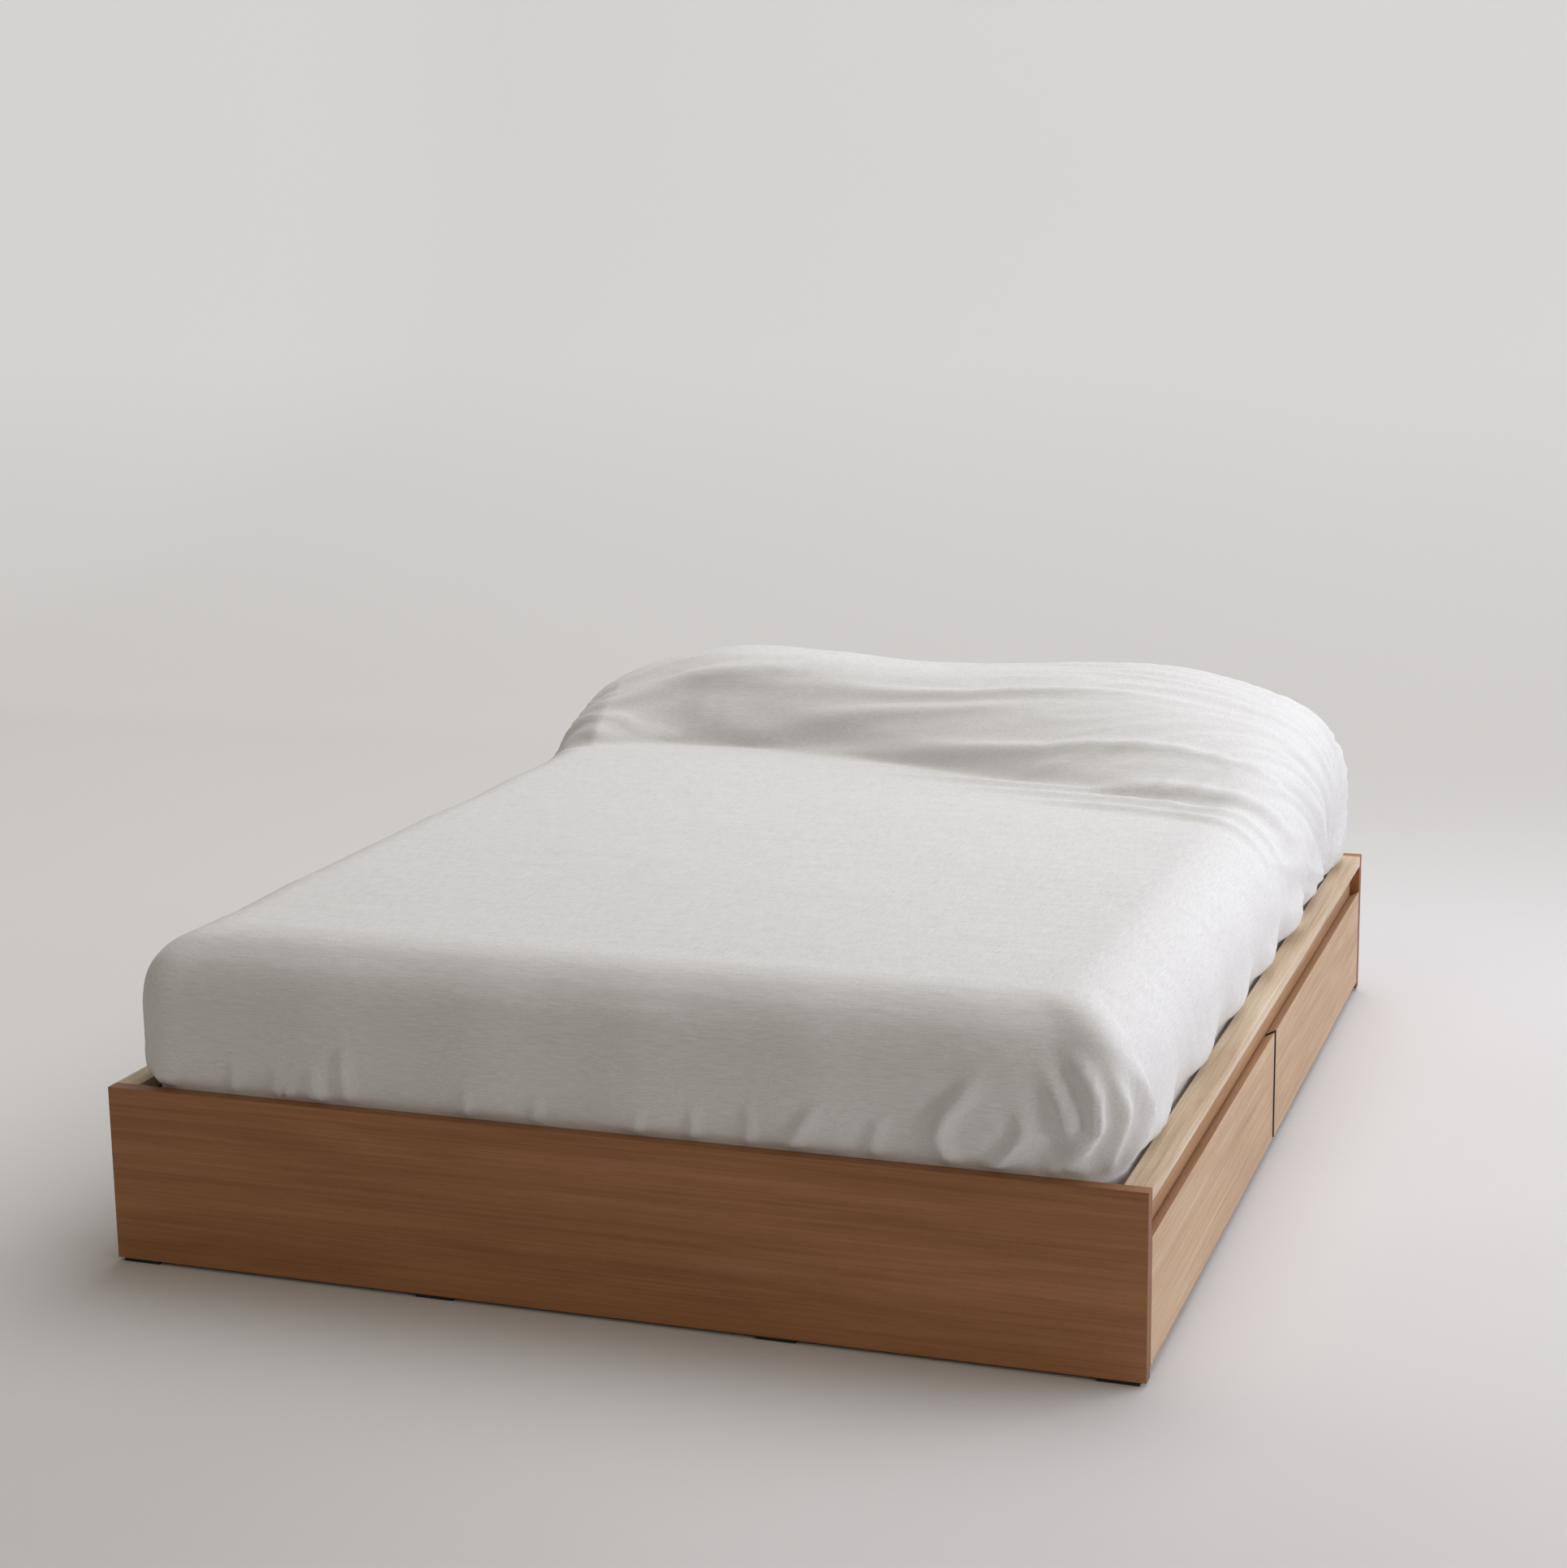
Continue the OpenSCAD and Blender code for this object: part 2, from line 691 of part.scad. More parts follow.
drawer_side(1, 1, true);  // right_head_drawer_outer_side
drawer_side(-1, -1, true);  // left_foot_drawer_outer_side
drawer_side(-1, 1, true);  // left_head_drawer_outer_side
drawer_side(1, -1, false);  // right_foot_drawer_inner_side
drawer_side(1, 1, false);  // right_head_drawer_inner_side
drawer_side(-1, -1, false);  // left_foot_drawer_inner_side
drawer_side(-1, 1, false);  // left_head_drawer_inner_side
drawer_back(1, -1);  // right_foot_drawer_back
drawer_back(1, 1);  // right_head_drawer_back
drawer_back(-1, -1);  // left_foot_drawer_back
drawer_back(-1, 1);  // left_head_drawer_back
drawer_bottom(1, -1);  // right_foot_drawer_bottom
drawer_bottom(1, 1);  // right_head_drawer_bottom
drawer_bottom(-1, -1);  // left_foot_drawer_bottom
drawer_bottom(-1, 1);  // left_head_drawer_bottom
drawer_screws(1, -1);  // right_foot_drawer_screws
drawer_screws(1, 1);  // right_head_drawer_screws
drawer_screws(-1, -1);  // left_foot_drawer_screws
drawer_screws(-1, 1);  // left_head_drawer_screws
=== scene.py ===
"""Looks for the tatami platform bed: eased oak boards, birch drawers, zinc runners and made-up bedding.

Metres throughout, in the part's own frame: +X is the drawer side, +Y the head end, +Z up.
"""
import math

import bmesh
import bpy
import numpy as np
from mathutils import Euler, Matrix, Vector
from mathutils.bvhtree import BVHTree


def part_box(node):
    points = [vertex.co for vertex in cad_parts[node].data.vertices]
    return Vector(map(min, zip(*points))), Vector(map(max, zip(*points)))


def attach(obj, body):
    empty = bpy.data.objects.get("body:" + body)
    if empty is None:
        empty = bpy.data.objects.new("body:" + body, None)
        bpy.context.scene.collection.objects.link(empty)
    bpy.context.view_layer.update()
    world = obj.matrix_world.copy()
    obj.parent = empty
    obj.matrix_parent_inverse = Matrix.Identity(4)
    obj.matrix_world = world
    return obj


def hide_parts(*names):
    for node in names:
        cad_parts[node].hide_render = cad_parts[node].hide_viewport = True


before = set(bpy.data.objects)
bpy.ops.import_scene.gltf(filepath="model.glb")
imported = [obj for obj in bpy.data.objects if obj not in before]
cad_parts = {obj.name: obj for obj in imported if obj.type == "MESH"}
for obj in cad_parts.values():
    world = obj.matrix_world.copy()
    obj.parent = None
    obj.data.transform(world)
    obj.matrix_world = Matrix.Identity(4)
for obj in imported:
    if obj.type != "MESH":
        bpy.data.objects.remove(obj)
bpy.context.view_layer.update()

MM = 0.001
SIDES = ("right", "left")
ENDS = ("foot", "head")
QUARTERS = [(side, end) for side in SIDES for end in ENDS]
ARRIS = 0.9 * MM         # radius on the boards' edges
GAP_SHADE_REACH = 10 * MM      # half the drawer gap and one band of painted shade


def put(name, data):
    """A new object in the scene for this data."""
    thing = bpy.data.objects.new(name, data)
    bpy.context.scene.collection.objects.link(thing)
    return thing


def welded(mesh, apart=0.01 * MM):
    """The mesh opened for editing, its doubled points joined."""
    work = bmesh.new()
    work.from_mesh(mesh)
    bmesh.ops.remove_doubles(work, verts=work.verts, dist=apart)
    return work


# ---- Camera: the photograph's view ----

CAMERA_AT = (1.5568, -4.6681, 1.6295)
CAMERA_YAW = 19.16       # degrees to the left of +Y
CAMERA_PITCH = -11.90    # degrees above the horizon
CAMERA_ROLL = -0.776     # degrees
CAMERA_LENS = 65.78      # mm on a 36 mm sensor along the frame's longer side


def make_camera():
    data = bpy.data.cameras.new("camera")
    data.sensor_fit = "AUTO"
    data.sensor_width = 36.0
    data.lens = CAMERA_LENS
    data.clip_end = 60.0
    camera = put("camera", data)
    camera.location = CAMERA_AT
    turn = Euler((math.radians(90 + CAMERA_PITCH), 0, math.radians(CAMERA_YAW)), "XYZ").to_matrix()
    roll = Euler((0, 0, math.radians(CAMERA_ROLL)), "XYZ").to_matrix()
    camera.rotation_euler = (turn @ roll).to_euler()
    bpy.context.scene.camera = camera


# ---- Node helpers ----

def linear(hex_colour):
    """sRGB hex to a linear RGBA colour."""
    parts = [int(hex_colour[i:i + 2], 16) / 255 for i in (0, 2, 4)]
    return [c / 12.92 if c <= 0.04045 else ((c + 0.055) / 1.055) ** 2.4 for c in parts] + [1.0]


def add(tree, kind, links=None, stops=(), **settings):
    """Adds one node: settings are its properties or, by name, its inputs.

    Links map inputs to sockets, to a node whose first output is meant, or, where the input has no name
    of its own, to a plain number.
    Stops are a colour ramp's (position, hex or grey level) pairs.
    """
    node = tree.nodes.new(kind)
    for name, value in settings.items():
        if hasattr(node, name):
            setattr(node, name, value)
        else:
            node.inputs[name.replace("_", " ")].default_value = value
    if stops:
        elements = node.color_ramp.elements
        while len(elements) < len(stops):
            elements.new(0.5)
        for element, (position, value) in zip(elements, stops):
            element.position = position
            element.color = linear(value) if isinstance(value, str) else (value, value, value, 1)
    for name, source in (links or {}).items():
        if isinstance(source, float):
            node.inputs[name].default_value = source
        else:
            socket = source.outputs[0] if isinstance(source, bpy.types.Node) else source
            tree.links.new(socket, node.inputs[name])
    return node


def new_material(name):
    material = bpy.data.materials.new(name)
    material.use_nodes = True
    material.node_tree.nodes.clear()
    return material, material.node_tree


def close_material(tree, shader):
    add(tree, "ShaderNodeOutputMaterial", {"Surface": shader})


def grain_space(tree, along, length, across, offset=0.0):
    """Object coordinates whose unit is `length` metres along the grain and `across` metres across it."""
    scale = [1 / across] * 3
    scale["XYZ".index(along)] = 1 / length
    coords = add(tree, "ShaderNodeTexCoord")
    return add(tree, "ShaderNodeMapping", {"Vector": coords.outputs["Object"]},
               Scale=scale, Location=(offset, offset * 1.7, offset * 0.6)).outputs["Vector"]


# ---- Wood ----

def oak_veneer(name, along, dark, middle, light, pore, end, offset=0.0, gloss=0.52, painted_gap_shade=None):
    """Sliced oak veneer under matt lacquer: long streaks, slow cathedral bands and short open pores."""
    material, tree = new_material(name)
    # Cathedral figure: bands about 22 mm apart, bent by slow noise over 600 mm of length
    bend = add(tree, "ShaderNodeTexNoise", {"Vector": grain_space(tree, along, 0.62, 0.15, offset)},
               Scale=1.0, Detail=2.0, Roughness=0.45)
    figure_at = add(tree, "ShaderNodeMixRGB", {
        "Color1": grain_space(tree, along, 3.2, 0.085, offset), "Color2": bend.outputs["Color"]},
        blend_type="ADD", Fac=1.0)
    figure = add(tree, "ShaderNodeTexNoise", {"Vector": figure_at},
                 Scale=2.6, Detail=3.0, Roughness=0.55)
    # Growth streaks 1.5 to 4 mm wide and 300 mm long
    streak = add(tree, "ShaderNodeTexNoise", {"Vector": grain_space(tree, along, 0.30, 0.0040, offset)},
                 Scale=1.0, Detail=4.0, Roughness=0.62)
    # Open pores about 0.5 mm wide and 9 mm long, drawn a little coarser than real ones
    pores = add(tree, "ShaderNodeTexNoise", {"Vector": grain_space(tree, along, 0.016, 0.0009, offset)},
                Scale=1.0, Detail=2.0, Roughness=0.5)
    patches = add(tree, "ShaderNodeTexNoise", {"Vector": grain_space(tree, along, 0.50, 0.22, offset)},
                  Scale=1.0, Detail=1.0)
    blend = add(tree, "ShaderNodeMixRGB", {
        "Color1": figure, "Color2": streak}, blend_type="MIX", Fac=0.48)
    blend = add(tree, "ShaderNodeMixRGB", {
        "Color1": blend, "Color2": patches}, blend_type="MIX", Fac=0.16)
    tone = add(tree, "ShaderNodeValToRGB", {"Fac": blend},
               stops=((0.36, dark), (0.50, middle), (0.64, light)))
    pore_mask = add(tree, "ShaderNodeValToRGB", {"Fac": pores},
               stops=((0.60, 0.0), (0.72, 1.0)))
    pore_share = add(tree, "ShaderNodeMath", {0: pore_mask, 1: 0.42},
                     operation="MULTIPLY")
    colour = add(tree, "ShaderNodeMixRGB", {
        "Fac": pore_share, "Color1": tone}, Color2=linear(pore))
    # The faces across the grain are darker: partly real end grain, partly painted shade that keeps the gap
    # between the drawer fronts dark
    ends = add(tree, "ShaderNodeTexCoord")
    facing = add(tree, "ShaderNodeSeparateXYZ", {"Vector": ends.outputs["Normal"]})
    faced = add(tree, "ShaderNodeMath", {0: facing.outputs[along]}, operation="ABSOLUTE")
    on_end_grain_and_shade = add(tree, "ShaderNodeValToRGB", {"Fac": faced}, stops=((0.75, 0.0), (0.9, 0.85)))
    colour = add(tree, "ShaderNodeMixRGB", {
        "Fac": on_end_grain_and_shade, "Color1": colour}, Color2=linear(end))
    if painted_gap_shade:
        # Painted shade: where the two drawer fronts on a side meet, each carries a dark band 5 mm wide, 5 mm
        # either side of the middle, for the shadow in the gap
        across = add(tree, "ShaderNodeSeparateXYZ", {"Vector": ends.outputs["Object"]})
        from_middle = add(tree, "ShaderNodeMath", {0: across.outputs[along]}, operation="ABSOLUTE")
        on_gap_shade = add(tree, "ShaderNodeMath", {0: from_middle, 1: GAP_SHADE_REACH}, operation="LESS_THAN")
        colour = add(tree, "ShaderNodeMixRGB", {
            "Fac": on_gap_shade, "Color1": colour}, Color2=linear(painted_gap_shade))
    rough = add(tree, "ShaderNodeValToRGB", {"Fac": streak},
               stops=((0.3, gloss + 0.06), (0.7, gloss - 0.05)))
    height = add(tree, "ShaderNodeMath", {0: streak, 1: pore_mask},
                 operation="SUBTRACT")
    bump = add(tree, "ShaderNodeBump", {"Height": height}, Strength=0.22, Distance=0.00025)
    shader = add(tree, "ShaderNodeBsdfPrincipled", {
        "Base Color": colour, "Roughness": rough,
        "Normal": bump}, IOR=1.48)
    close_material(tree, shader)
    return material


def birch_ply(name, along, thickness, edge=("a5804f", "dcc69c")):
    """Sanded birch plywood: very pale faces with faint wide streaks, and its plies showing on every edge."""
    material, tree = new_material(name)
    streak = add(tree, "ShaderNodeTexNoise", {"Vector": grain_space(tree, along, 0.35, 0.012)},
                 Scale=1.0, Detail=4.0, Roughness=0.6)
    fleck = add(tree, "ShaderNodeTexNoise", {"Vector": grain_space(tree, along, 0.012, 0.0012)},
                Scale=1.0, Detail=1.0)
    tone = add(tree, "ShaderNodeValToRGB", {"Fac": streak},
               stops=((0.3, "c6a67a"), (0.55, "d6bd94"), (0.75, "e0cca8")))
    flecks = add(tree, "ShaderNodeValToRGB", {"Fac": fleck},
               stops=((0.62, 0.0), (0.75, 0.35)))
    colour = add(tree, "ShaderNodeMixRGB", {
        "Fac": flecks, "Color1": tone}, Color2=linear("b08a5c"))
    # Plies are 1.4 mm thick, so long and end grain take turns every 2.8 mm; a wave's period is 2 pi / 20
    coords = add(tree, "ShaderNodeTexCoord")
    plies = add(tree, "ShaderNodeTexWave", {"Vector": coords.outputs["Object"]},
                wave_type="BANDS", bands_direction=thickness, Scale=2 * math.pi / 20 / 0.0028, Distortion=0.0)
    # For the dividers these edge tones are painted shade, not ply
    ply_and_shade_tone = add(tree, "ShaderNodeValToRGB", {"Fac": plies.outputs["Fac"]},
                   stops=((0.42, edge[0]), (0.58, edge[1])))
    facing = add(tree, "ShaderNodeSeparateXYZ", {"Vector": coords.outputs["Normal"]})
    faced = add(tree, "ShaderNodeMath", {0: facing.outputs[thickness]}, operation="ABSOLUTE")
    on_edge = add(tree, "ShaderNodeValToRGB", {"Fac": faced}, stops=((0.3, 1.0), (0.5, 0.0)))
    colour = add(tree, "ShaderNodeMixRGB", {
        "Fac": on_edge, "Color1": colour,
        "Color2": ply_and_shade_tone})
    bump = add(tree, "ShaderNodeBump", {"Height": streak}, Strength=0.15, Distance=0.0002)
    shader = add(tree, "ShaderNodeBsdfPrincipled", {
        "Base Color": colour, "Normal": bump}, Roughness=0.62, IOR=1.45)
    close_material(tree, shader)
    return material


# ---- Metal and plastic ----

def zinc_steel(name):
    """Zinc-plated rolled steel: fine rolling lines along the runner and a soft spangle."""
    material, tree = new_material(name)
    lines = add(tree, "ShaderNodeTexNoise", {"Vector": grain_space(tree, "X", 0.08, 0.0006)},
                Scale=1.0, Detail=2.0)
    spangle = add(tree, "ShaderNodeTexVoronoi", {"Vector": grain_space(tree, "X", 0.006, 0.006)}, Scale=1.0)
    mixed = add(tree, "ShaderNodeMixRGB", {
        "Color1": lines, "Color2": spangle.outputs["Color"]}, Fac=0.3)
    tone = add(tree, "ShaderNodeValToRGB", {"Fac": mixed},
               stops=((0.2, "a7abae"), (0.8, "c3c7ca")))
    rough = add(tree, "ShaderNodeValToRGB", {"Fac": lines},
               stops=((0.3, 0.30), (0.7, 0.42)))
    shader = add(tree, "ShaderNodeBsdfPrincipled", {
        "Base Color": tone, "Roughness": rough}, Metallic=1.0)
    close_material(tree, shader)
    return material


def moulded_black(name):
    """Injection-moulded black polypropylene with a fine spark-eroded texture."""
    material, tree = new_material(name)
    texture = add(tree, "ShaderNodeTexNoise", {"Vector": grain_space(tree, "X", 0.0008, 0.0008)},
                  Scale=1.0, Detail=2.0)
    tone = add(tree, "ShaderNodeValToRGB", {"Fac": texture},
               stops=((0.3, "101010"), (0.7, "1d1c1b")))
    bump = add(tree, "ShaderNodeBump", {"Height": texture}, Strength=0.3, Distance=0.0001)
    shader = add(tree, "ShaderNodeBsdfPrincipled", {
        "Base Color": tone, "Normal": bump}, Roughness=0.6, IOR=1.49)
    close_material(tree, shader)
    return material


# ---- Cloth ----

def woven_cotton(name, shade, main, pale, crumple=1.0, thread=0.0011):
    """Washed plain-weave cotton: slubby threads, soft crumples of 10 to 40 mm, dry and faintly fuzzy."""
    material, tree = new_material(name)
    # Threads are about 0.4 mm; they are drawn at `thread`, so that they show from a step away
    warp = add(tree, "ShaderNodeTexNoise", {"Vector": grain_space(tree, "Y", 0.030, thread)},
               Scale=1.0, Detail=1.0)
    weft = add(tree, "ShaderNodeTexNoise", {"Vector": grain_space(tree, "X", 0.030, thread)},
               Scale=1.0, Detail=1.0)
    weave = add(tree, "ShaderNodeMath", {0: warp, 1: weft}, operation="ADD")
    wide = add(tree, "ShaderNodeTexNoise", {"Vector": grain_space(tree, "X", 0.09, 0.022)},
               Scale=1.0, Detail=3.0, Roughness=0.5)
    first = add(tree, "ShaderNodeBump", {"Height": wide},
                Strength=0.34 * crumple, Distance=0.0030)
    second = add(tree, "ShaderNodeBump", {"Height": weave, "Normal": first},
                 Strength=0.22, Distance=0.0003)
    mixed = add(tree, "ShaderNodeMath", {0: weave, 1: 0.5}, operation="MULTIPLY")
    tone = add(tree, "ShaderNodeValToRGB", {"Fac": mixed},
               stops=((0.35, shade), (0.5, main), (0.65, pale)))
    shader = add(tree, "ShaderNodeBsdfPrincipled", {
        "Base Color": tone, "Normal": second},
        Roughness=0.93, IOR=1.35, Sheen_Weight=0.12, Sheen_Roughness=0.5)
    close_material(tree, shader)
    return material


def make_materials():
    return {
        # Shaded foot and head panels are the darker, redder boards of the set
        "panel": oak_veneer("oak_veneer_along_width", "X", "8a5a35", "9b683e", "aa754a", "623d22", "7d4a25"),
        "cap": oak_veneer("oak_veneer_cap", "Y", "ad9272", "c8b193", "dccab1", "8a6f50", "8d7252", 3.1),
        "apron": oak_veneer("oak_veneer_apron", "Y", "a27d5a", "b68f69", "c49f7a", "7a5a3c", "7a5a3c", 5.3),
        # The drawer fronts carry a painted shade band on each side of the gap between them
        "front": oak_veneer("oak_veneer_drawer_front", "Y", "ab8a68", "bf9f7e", "ccb091", "8a6a49", "8d7252",
                            7.7, painted_gap_shade="2e1d10"),
        "birch_upright_x": birch_ply("birch_ply_upright_across_bed", "X", "Y"),
        "birch_upright_y": birch_ply("birch_ply_upright_along_bed", "Y", "X"),
        # The dividers' edges are painted dark as shade, so that the gap between two drawers stays dark
        "birch_divider": birch_ply("birch_ply_shade_painted_edge", "X", "Y", ("2b1c10", "3a2616")),
        "birch_flat": birch_ply("birch_ply_flat_across_bed", "X", "Z"),
        "steel": zinc_steel("zinc_plated_steel"),
        "glide": moulded_black("moulded_black_polypropylene"),
        "cover": woven_cotton("washed_cotton_cover", "d0cfcc", "dddcda", "e6e5e4"),
        "ticking": woven_cotton("knitted_ticking", "cfcac0", "dcd8cf", "e6e3dc", 0.4, 0.0020),
        "pillowcase": woven_cotton("pillowcase_percale", "d3d0ca", "dedbd6", "e8e6e2", 0.7),
    }


# ---- Boards: copies of the CAD boards with their arrises eased ----

def eased_board(node, body, material, ease=ARRIS):
    """A board with all its sharp edges rounded by `ease`, standing for the CAD node."""
    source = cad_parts[node]
    mesh = source.data.copy()
    mesh.materials.clear()
    board = put(node + "_eased", mesh)
    work = welded(mesh)
    bmesh.ops.dissolve_limit(work, angle_limit=math.radians(2), verts=work.verts, edges=work.edges)
    long_edges = [e for e in work.edges if len(e.link_faces) == 2 and e.calc_length() > 15 * MM
                  and e.calc_face_angle(0) > math.radians(15)]
    bmesh.ops.bevel(work, geom=long_edges, offset=ease, segments=2, profile=0.6,
                    affect="EDGES", clamp_overlap=True)
    bmesh.ops.triangulate(work, faces=work.faces)
    for face in work.faces:
        face.smooth = False
    work.to_mesh(mesh)
    work.free()
    mesh.materials.append(material)
    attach(board, body)
    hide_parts(node)
    return board


def paint(node, material):
    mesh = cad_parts[node].data
    mesh.materials.clear()
    mesh.materials.append(material)


def dress_frame(materials):
    eased_board("footboard", "frame", materials["panel"])
    eased_board("head_panel", "frame", materials["panel"])
    for side in SIDES:
        eased_board(f"cap_{side}", "frame", materials["cap"])
        eased_board(f"apron_{side}", "frame", materials["apron"])
        eased_board(f"divider_{side}", "frame", materials["birch_divider"])
        eased_board(f"slat_ledger_{side}", "frame", materials["birch_upright_y"])
    eased_board("centre_spine", "frame", materials["birch_upright_y"])
    paint("corner_brackets", materials["steel"])


def dress_drawers(materials):
    for side, end in QUARTERS:
        name = f"{side}_{end}"
        body = f"{name}_drawer"
        eased_board(f"{name}_drawer_front", body, materials["front"])
        for wall in ("outer_side", "inner_side"):
            eased_board(f"{name}_drawer_{wall}", body, materials["birch_upright_x"])
        eased_board(f"{name}_drawer_back", body, materials["birch_upright_y"])
        paint(f"{name}_drawer_bottom", materials["birch_flat"])
        for part in ("cabinet_rails", "middle_rails", "drawer_rails"):
            paint(f"{name}_{part}", materials["steel"])


# ---- Slats, glides and screws: Geometry Nodes, one piece on each seat ----

def solids_of(node):
    """The corner points of each separate solid in a CAD node."""
    work = welded(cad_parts[node].data)
    left, solids = set(work.verts), []
    while left:
        front, found = [left.pop()], []
        while front:
            vert = front.pop()
            found.append(tuple(vert.co))
            for edge in vert.link_edges:
                other = edge.other_vert(vert)
                if other in left:
                    left.remove(other)
                    front.append(other)
        solids.append(np.array(found))
    work.free()
    return sorted(solids, key=lambda points: tuple(points.mean(axis=0).round(4)))


def long_axis(points):
    return int(np.argmax(np.ptp(points, axis=0)))


def bar_seats(node):
    """Middle and long direction of each bar-shaped solid."""
    seats = []
    for points in solids_of(node):
        facing = np.zeros(3)
        facing[long_axis(points)] = 1
        seats.append(((points.min(axis=0) + points.max(axis=0)) / 2, facing))
    return seats


def screw_seats(node):
    """Middle of each screw's head face, and the direction that face looks in."""
    seats = []
    for points in solids_of(node):
        axis = long_axis(points)
        other = [i for i in range(3) if i != axis]
        middle = (points.min(axis=0) + points.max(axis=0)) / 2
        reach = np.linalg.norm(points[:, other] - middle[other], axis=1)
        head = points[np.argmax(reach), axis]
        facing = np.zeros(3)
        facing[axis] = 1 if head > middle[axis] else -1
        middle[axis] = head
        seats.append((middle, facing))
    return seats


def seat_tree(name, sizes, make_shape):
    """A tree that puts the shape on every point, its X axis turned to that point's `facing`."""
    tree = bpy.data.node_groups.new(name, "GeometryNodeTree")
    sockets = tree.interface
    sockets.new_socket("Seats", in_out="INPUT", socket_type="NodeSocketGeometry")
    for size in sizes:
        sockets.new_socket(size, in_out="INPUT", socket_type="NodeSocketFloat")
    sockets.new_socket("Finish", in_out="INPUT", socket_type="NodeSocketMaterial")
    sockets.new_socket("Pieces", in_out="OUTPUT", socket_type="NodeSocketGeometry")
    given = add(tree, "NodeGroupInput").outputs
    shape = make_shape(tree, given)
    facing = add(tree, "GeometryNodeInputNamedAttribute", data_type="FLOAT_VECTOR", Name="facing")
    turn = add(tree, "FunctionNodeAlignRotationToVector", {"Vector": facing}, axis="X")
    placed = add(tree, "GeometryNodeInstanceOnPoints", {
        "Points": given["Seats"], "Instance": shape, "Rotation": turn})
    real = add(tree, "GeometryNodeRealizeInstances", {"Geometry": placed})
    done = add(tree, "GeometryNodeSetMaterial", {
        "Geometry": real, "Material": given["Finish"]})
    add(tree, "NodeGroupOutput", {"Pieces": done})
    return tree


def eased_bar(tree, given):
    """A bar along X whose four long edges are eased."""
    half = add(tree, "ShaderNodeMath", {0: given["Length"], 1: 0.5}, operation="MULTIPLY")
    back = add(tree, "ShaderNodeMath", {0: half, 1: -1.0}, operation="MULTIPLY")
    start = add(tree, "ShaderNodeCombineXYZ", {"X": back})
    end = add(tree, "ShaderNodeCombineXYZ", {"X": half})
    path = add(tree, "GeometryNodeCurvePrimitiveLine", {
        "Start": start, "End": end})
    upright = add(tree, "GeometryNodeSetCurveNormal", {"Curve": path}, mode="Z_UP")
    section = add(tree, "GeometryNodeCurvePrimitiveQuadrilateral", {
        "Width": given["Width"], "Height": given["Thickness"]})
    eased = add(tree, "GeometryNodeFilletCurve", {"Curve": section, "Radius": given["Ease"]},
                mode="POLY", Count=3)
    return add(tree, "GeometryNodeCurveToMesh", {
        "Curve": upright, "Profile Curve": eased},
        Fill_Caps=True).outputs["Mesh"]


def countersunk_screw(tree, given):
    """Countersunk head with a hexagon socket, and a plain shank, looking along +X."""
    head = add(tree, "GeometryNodeMeshCone", {
        "Radius Top": given["Head radius"], "Radius Bottom": given["Shank radius"],
        "Depth": given["Head depth"]}, Vertices=28)
    shank = add(tree, "GeometryNodeMeshCylinder", {
        "Radius": given["Shank radius"], "Depth": given["Shank length"]}, Vertices=28)
    socket = add(tree, "GeometryNodeMeshCylinder", {"Radius": given["Socket radius"],
                                                   "Depth": given["Head depth"]}, Vertices=6)
    down = add(tree, "ShaderNodeMath", {0: given["Head depth"], 1: -1.0}, operation="MULTIPLY")
    low = add(tree, "ShaderNodeMath", {0: given["Shank length"], 1: -0.5}, operation="MULTIPLY")
    bury = add(tree, "ShaderNodeMath", {0: low, 1: given["Head depth"]}, operation="SUBTRACT")
    moved = []
    for mesh, height in ((head, down), (shank, bury), (socket, None)):
        place = add(tree, "GeometryNodeTransform", {"Geometry": mesh})
        if height:
            lift = add(tree, "ShaderNodeCombineXYZ", {"Z": height})
            tree.links.new(lift.outputs["Vector"], place.inputs["Translation"])
        moved.append(place.outputs["Geometry"])
    cut = add(tree, "GeometryNodeMeshBoolean", {"Mesh 1": moved[0], "Mesh 2": moved[2]},
              operation="DIFFERENCE", solver="EXACT")
    whole = add(tree, "GeometryNodeJoinGeometry")
    tree.links.new(cut.outputs["Mesh"], whole.inputs["Geometry"])
    tree.links.new(moved[1], whole.inputs["Geometry"])
    return add(tree, "GeometryNodeTransform", {"Geometry": whole},
               Rotation=(0, math.pi / 2, 0)).outputs["Geometry"]


def seat_pieces(name, tree, seats, values):
    """Plain mesh object of the tree's shape on all seats."""
    mesh = bpy.data.meshes.new(name + "_seats")
    mesh.from_pydata([tuple(at) for at, _ in seats], [], [])
    facing = mesh.attributes.new("facing", "FLOAT_VECTOR", "POINT")
    facing.data.foreach_set("vector", [c for _, f in seats for c in f])
    holder = put(name + "_seats", mesh)
    modifier = holder.modifiers.new("seated", "NODES")
    modifier.node_group = tree
    for item in tree.interface.items_tree:
        if item.item_type == "SOCKET" and item.name in values:
            modifier[item.identifier] = values[item.name]
    graph = bpy.context.evaluated_depsgraph_get()
    result = bpy.data.meshes.new_from_object(holder.evaluated_get(graph))
    bpy.data.objects.remove(holder)
    result.name = name
    return put(name, result)


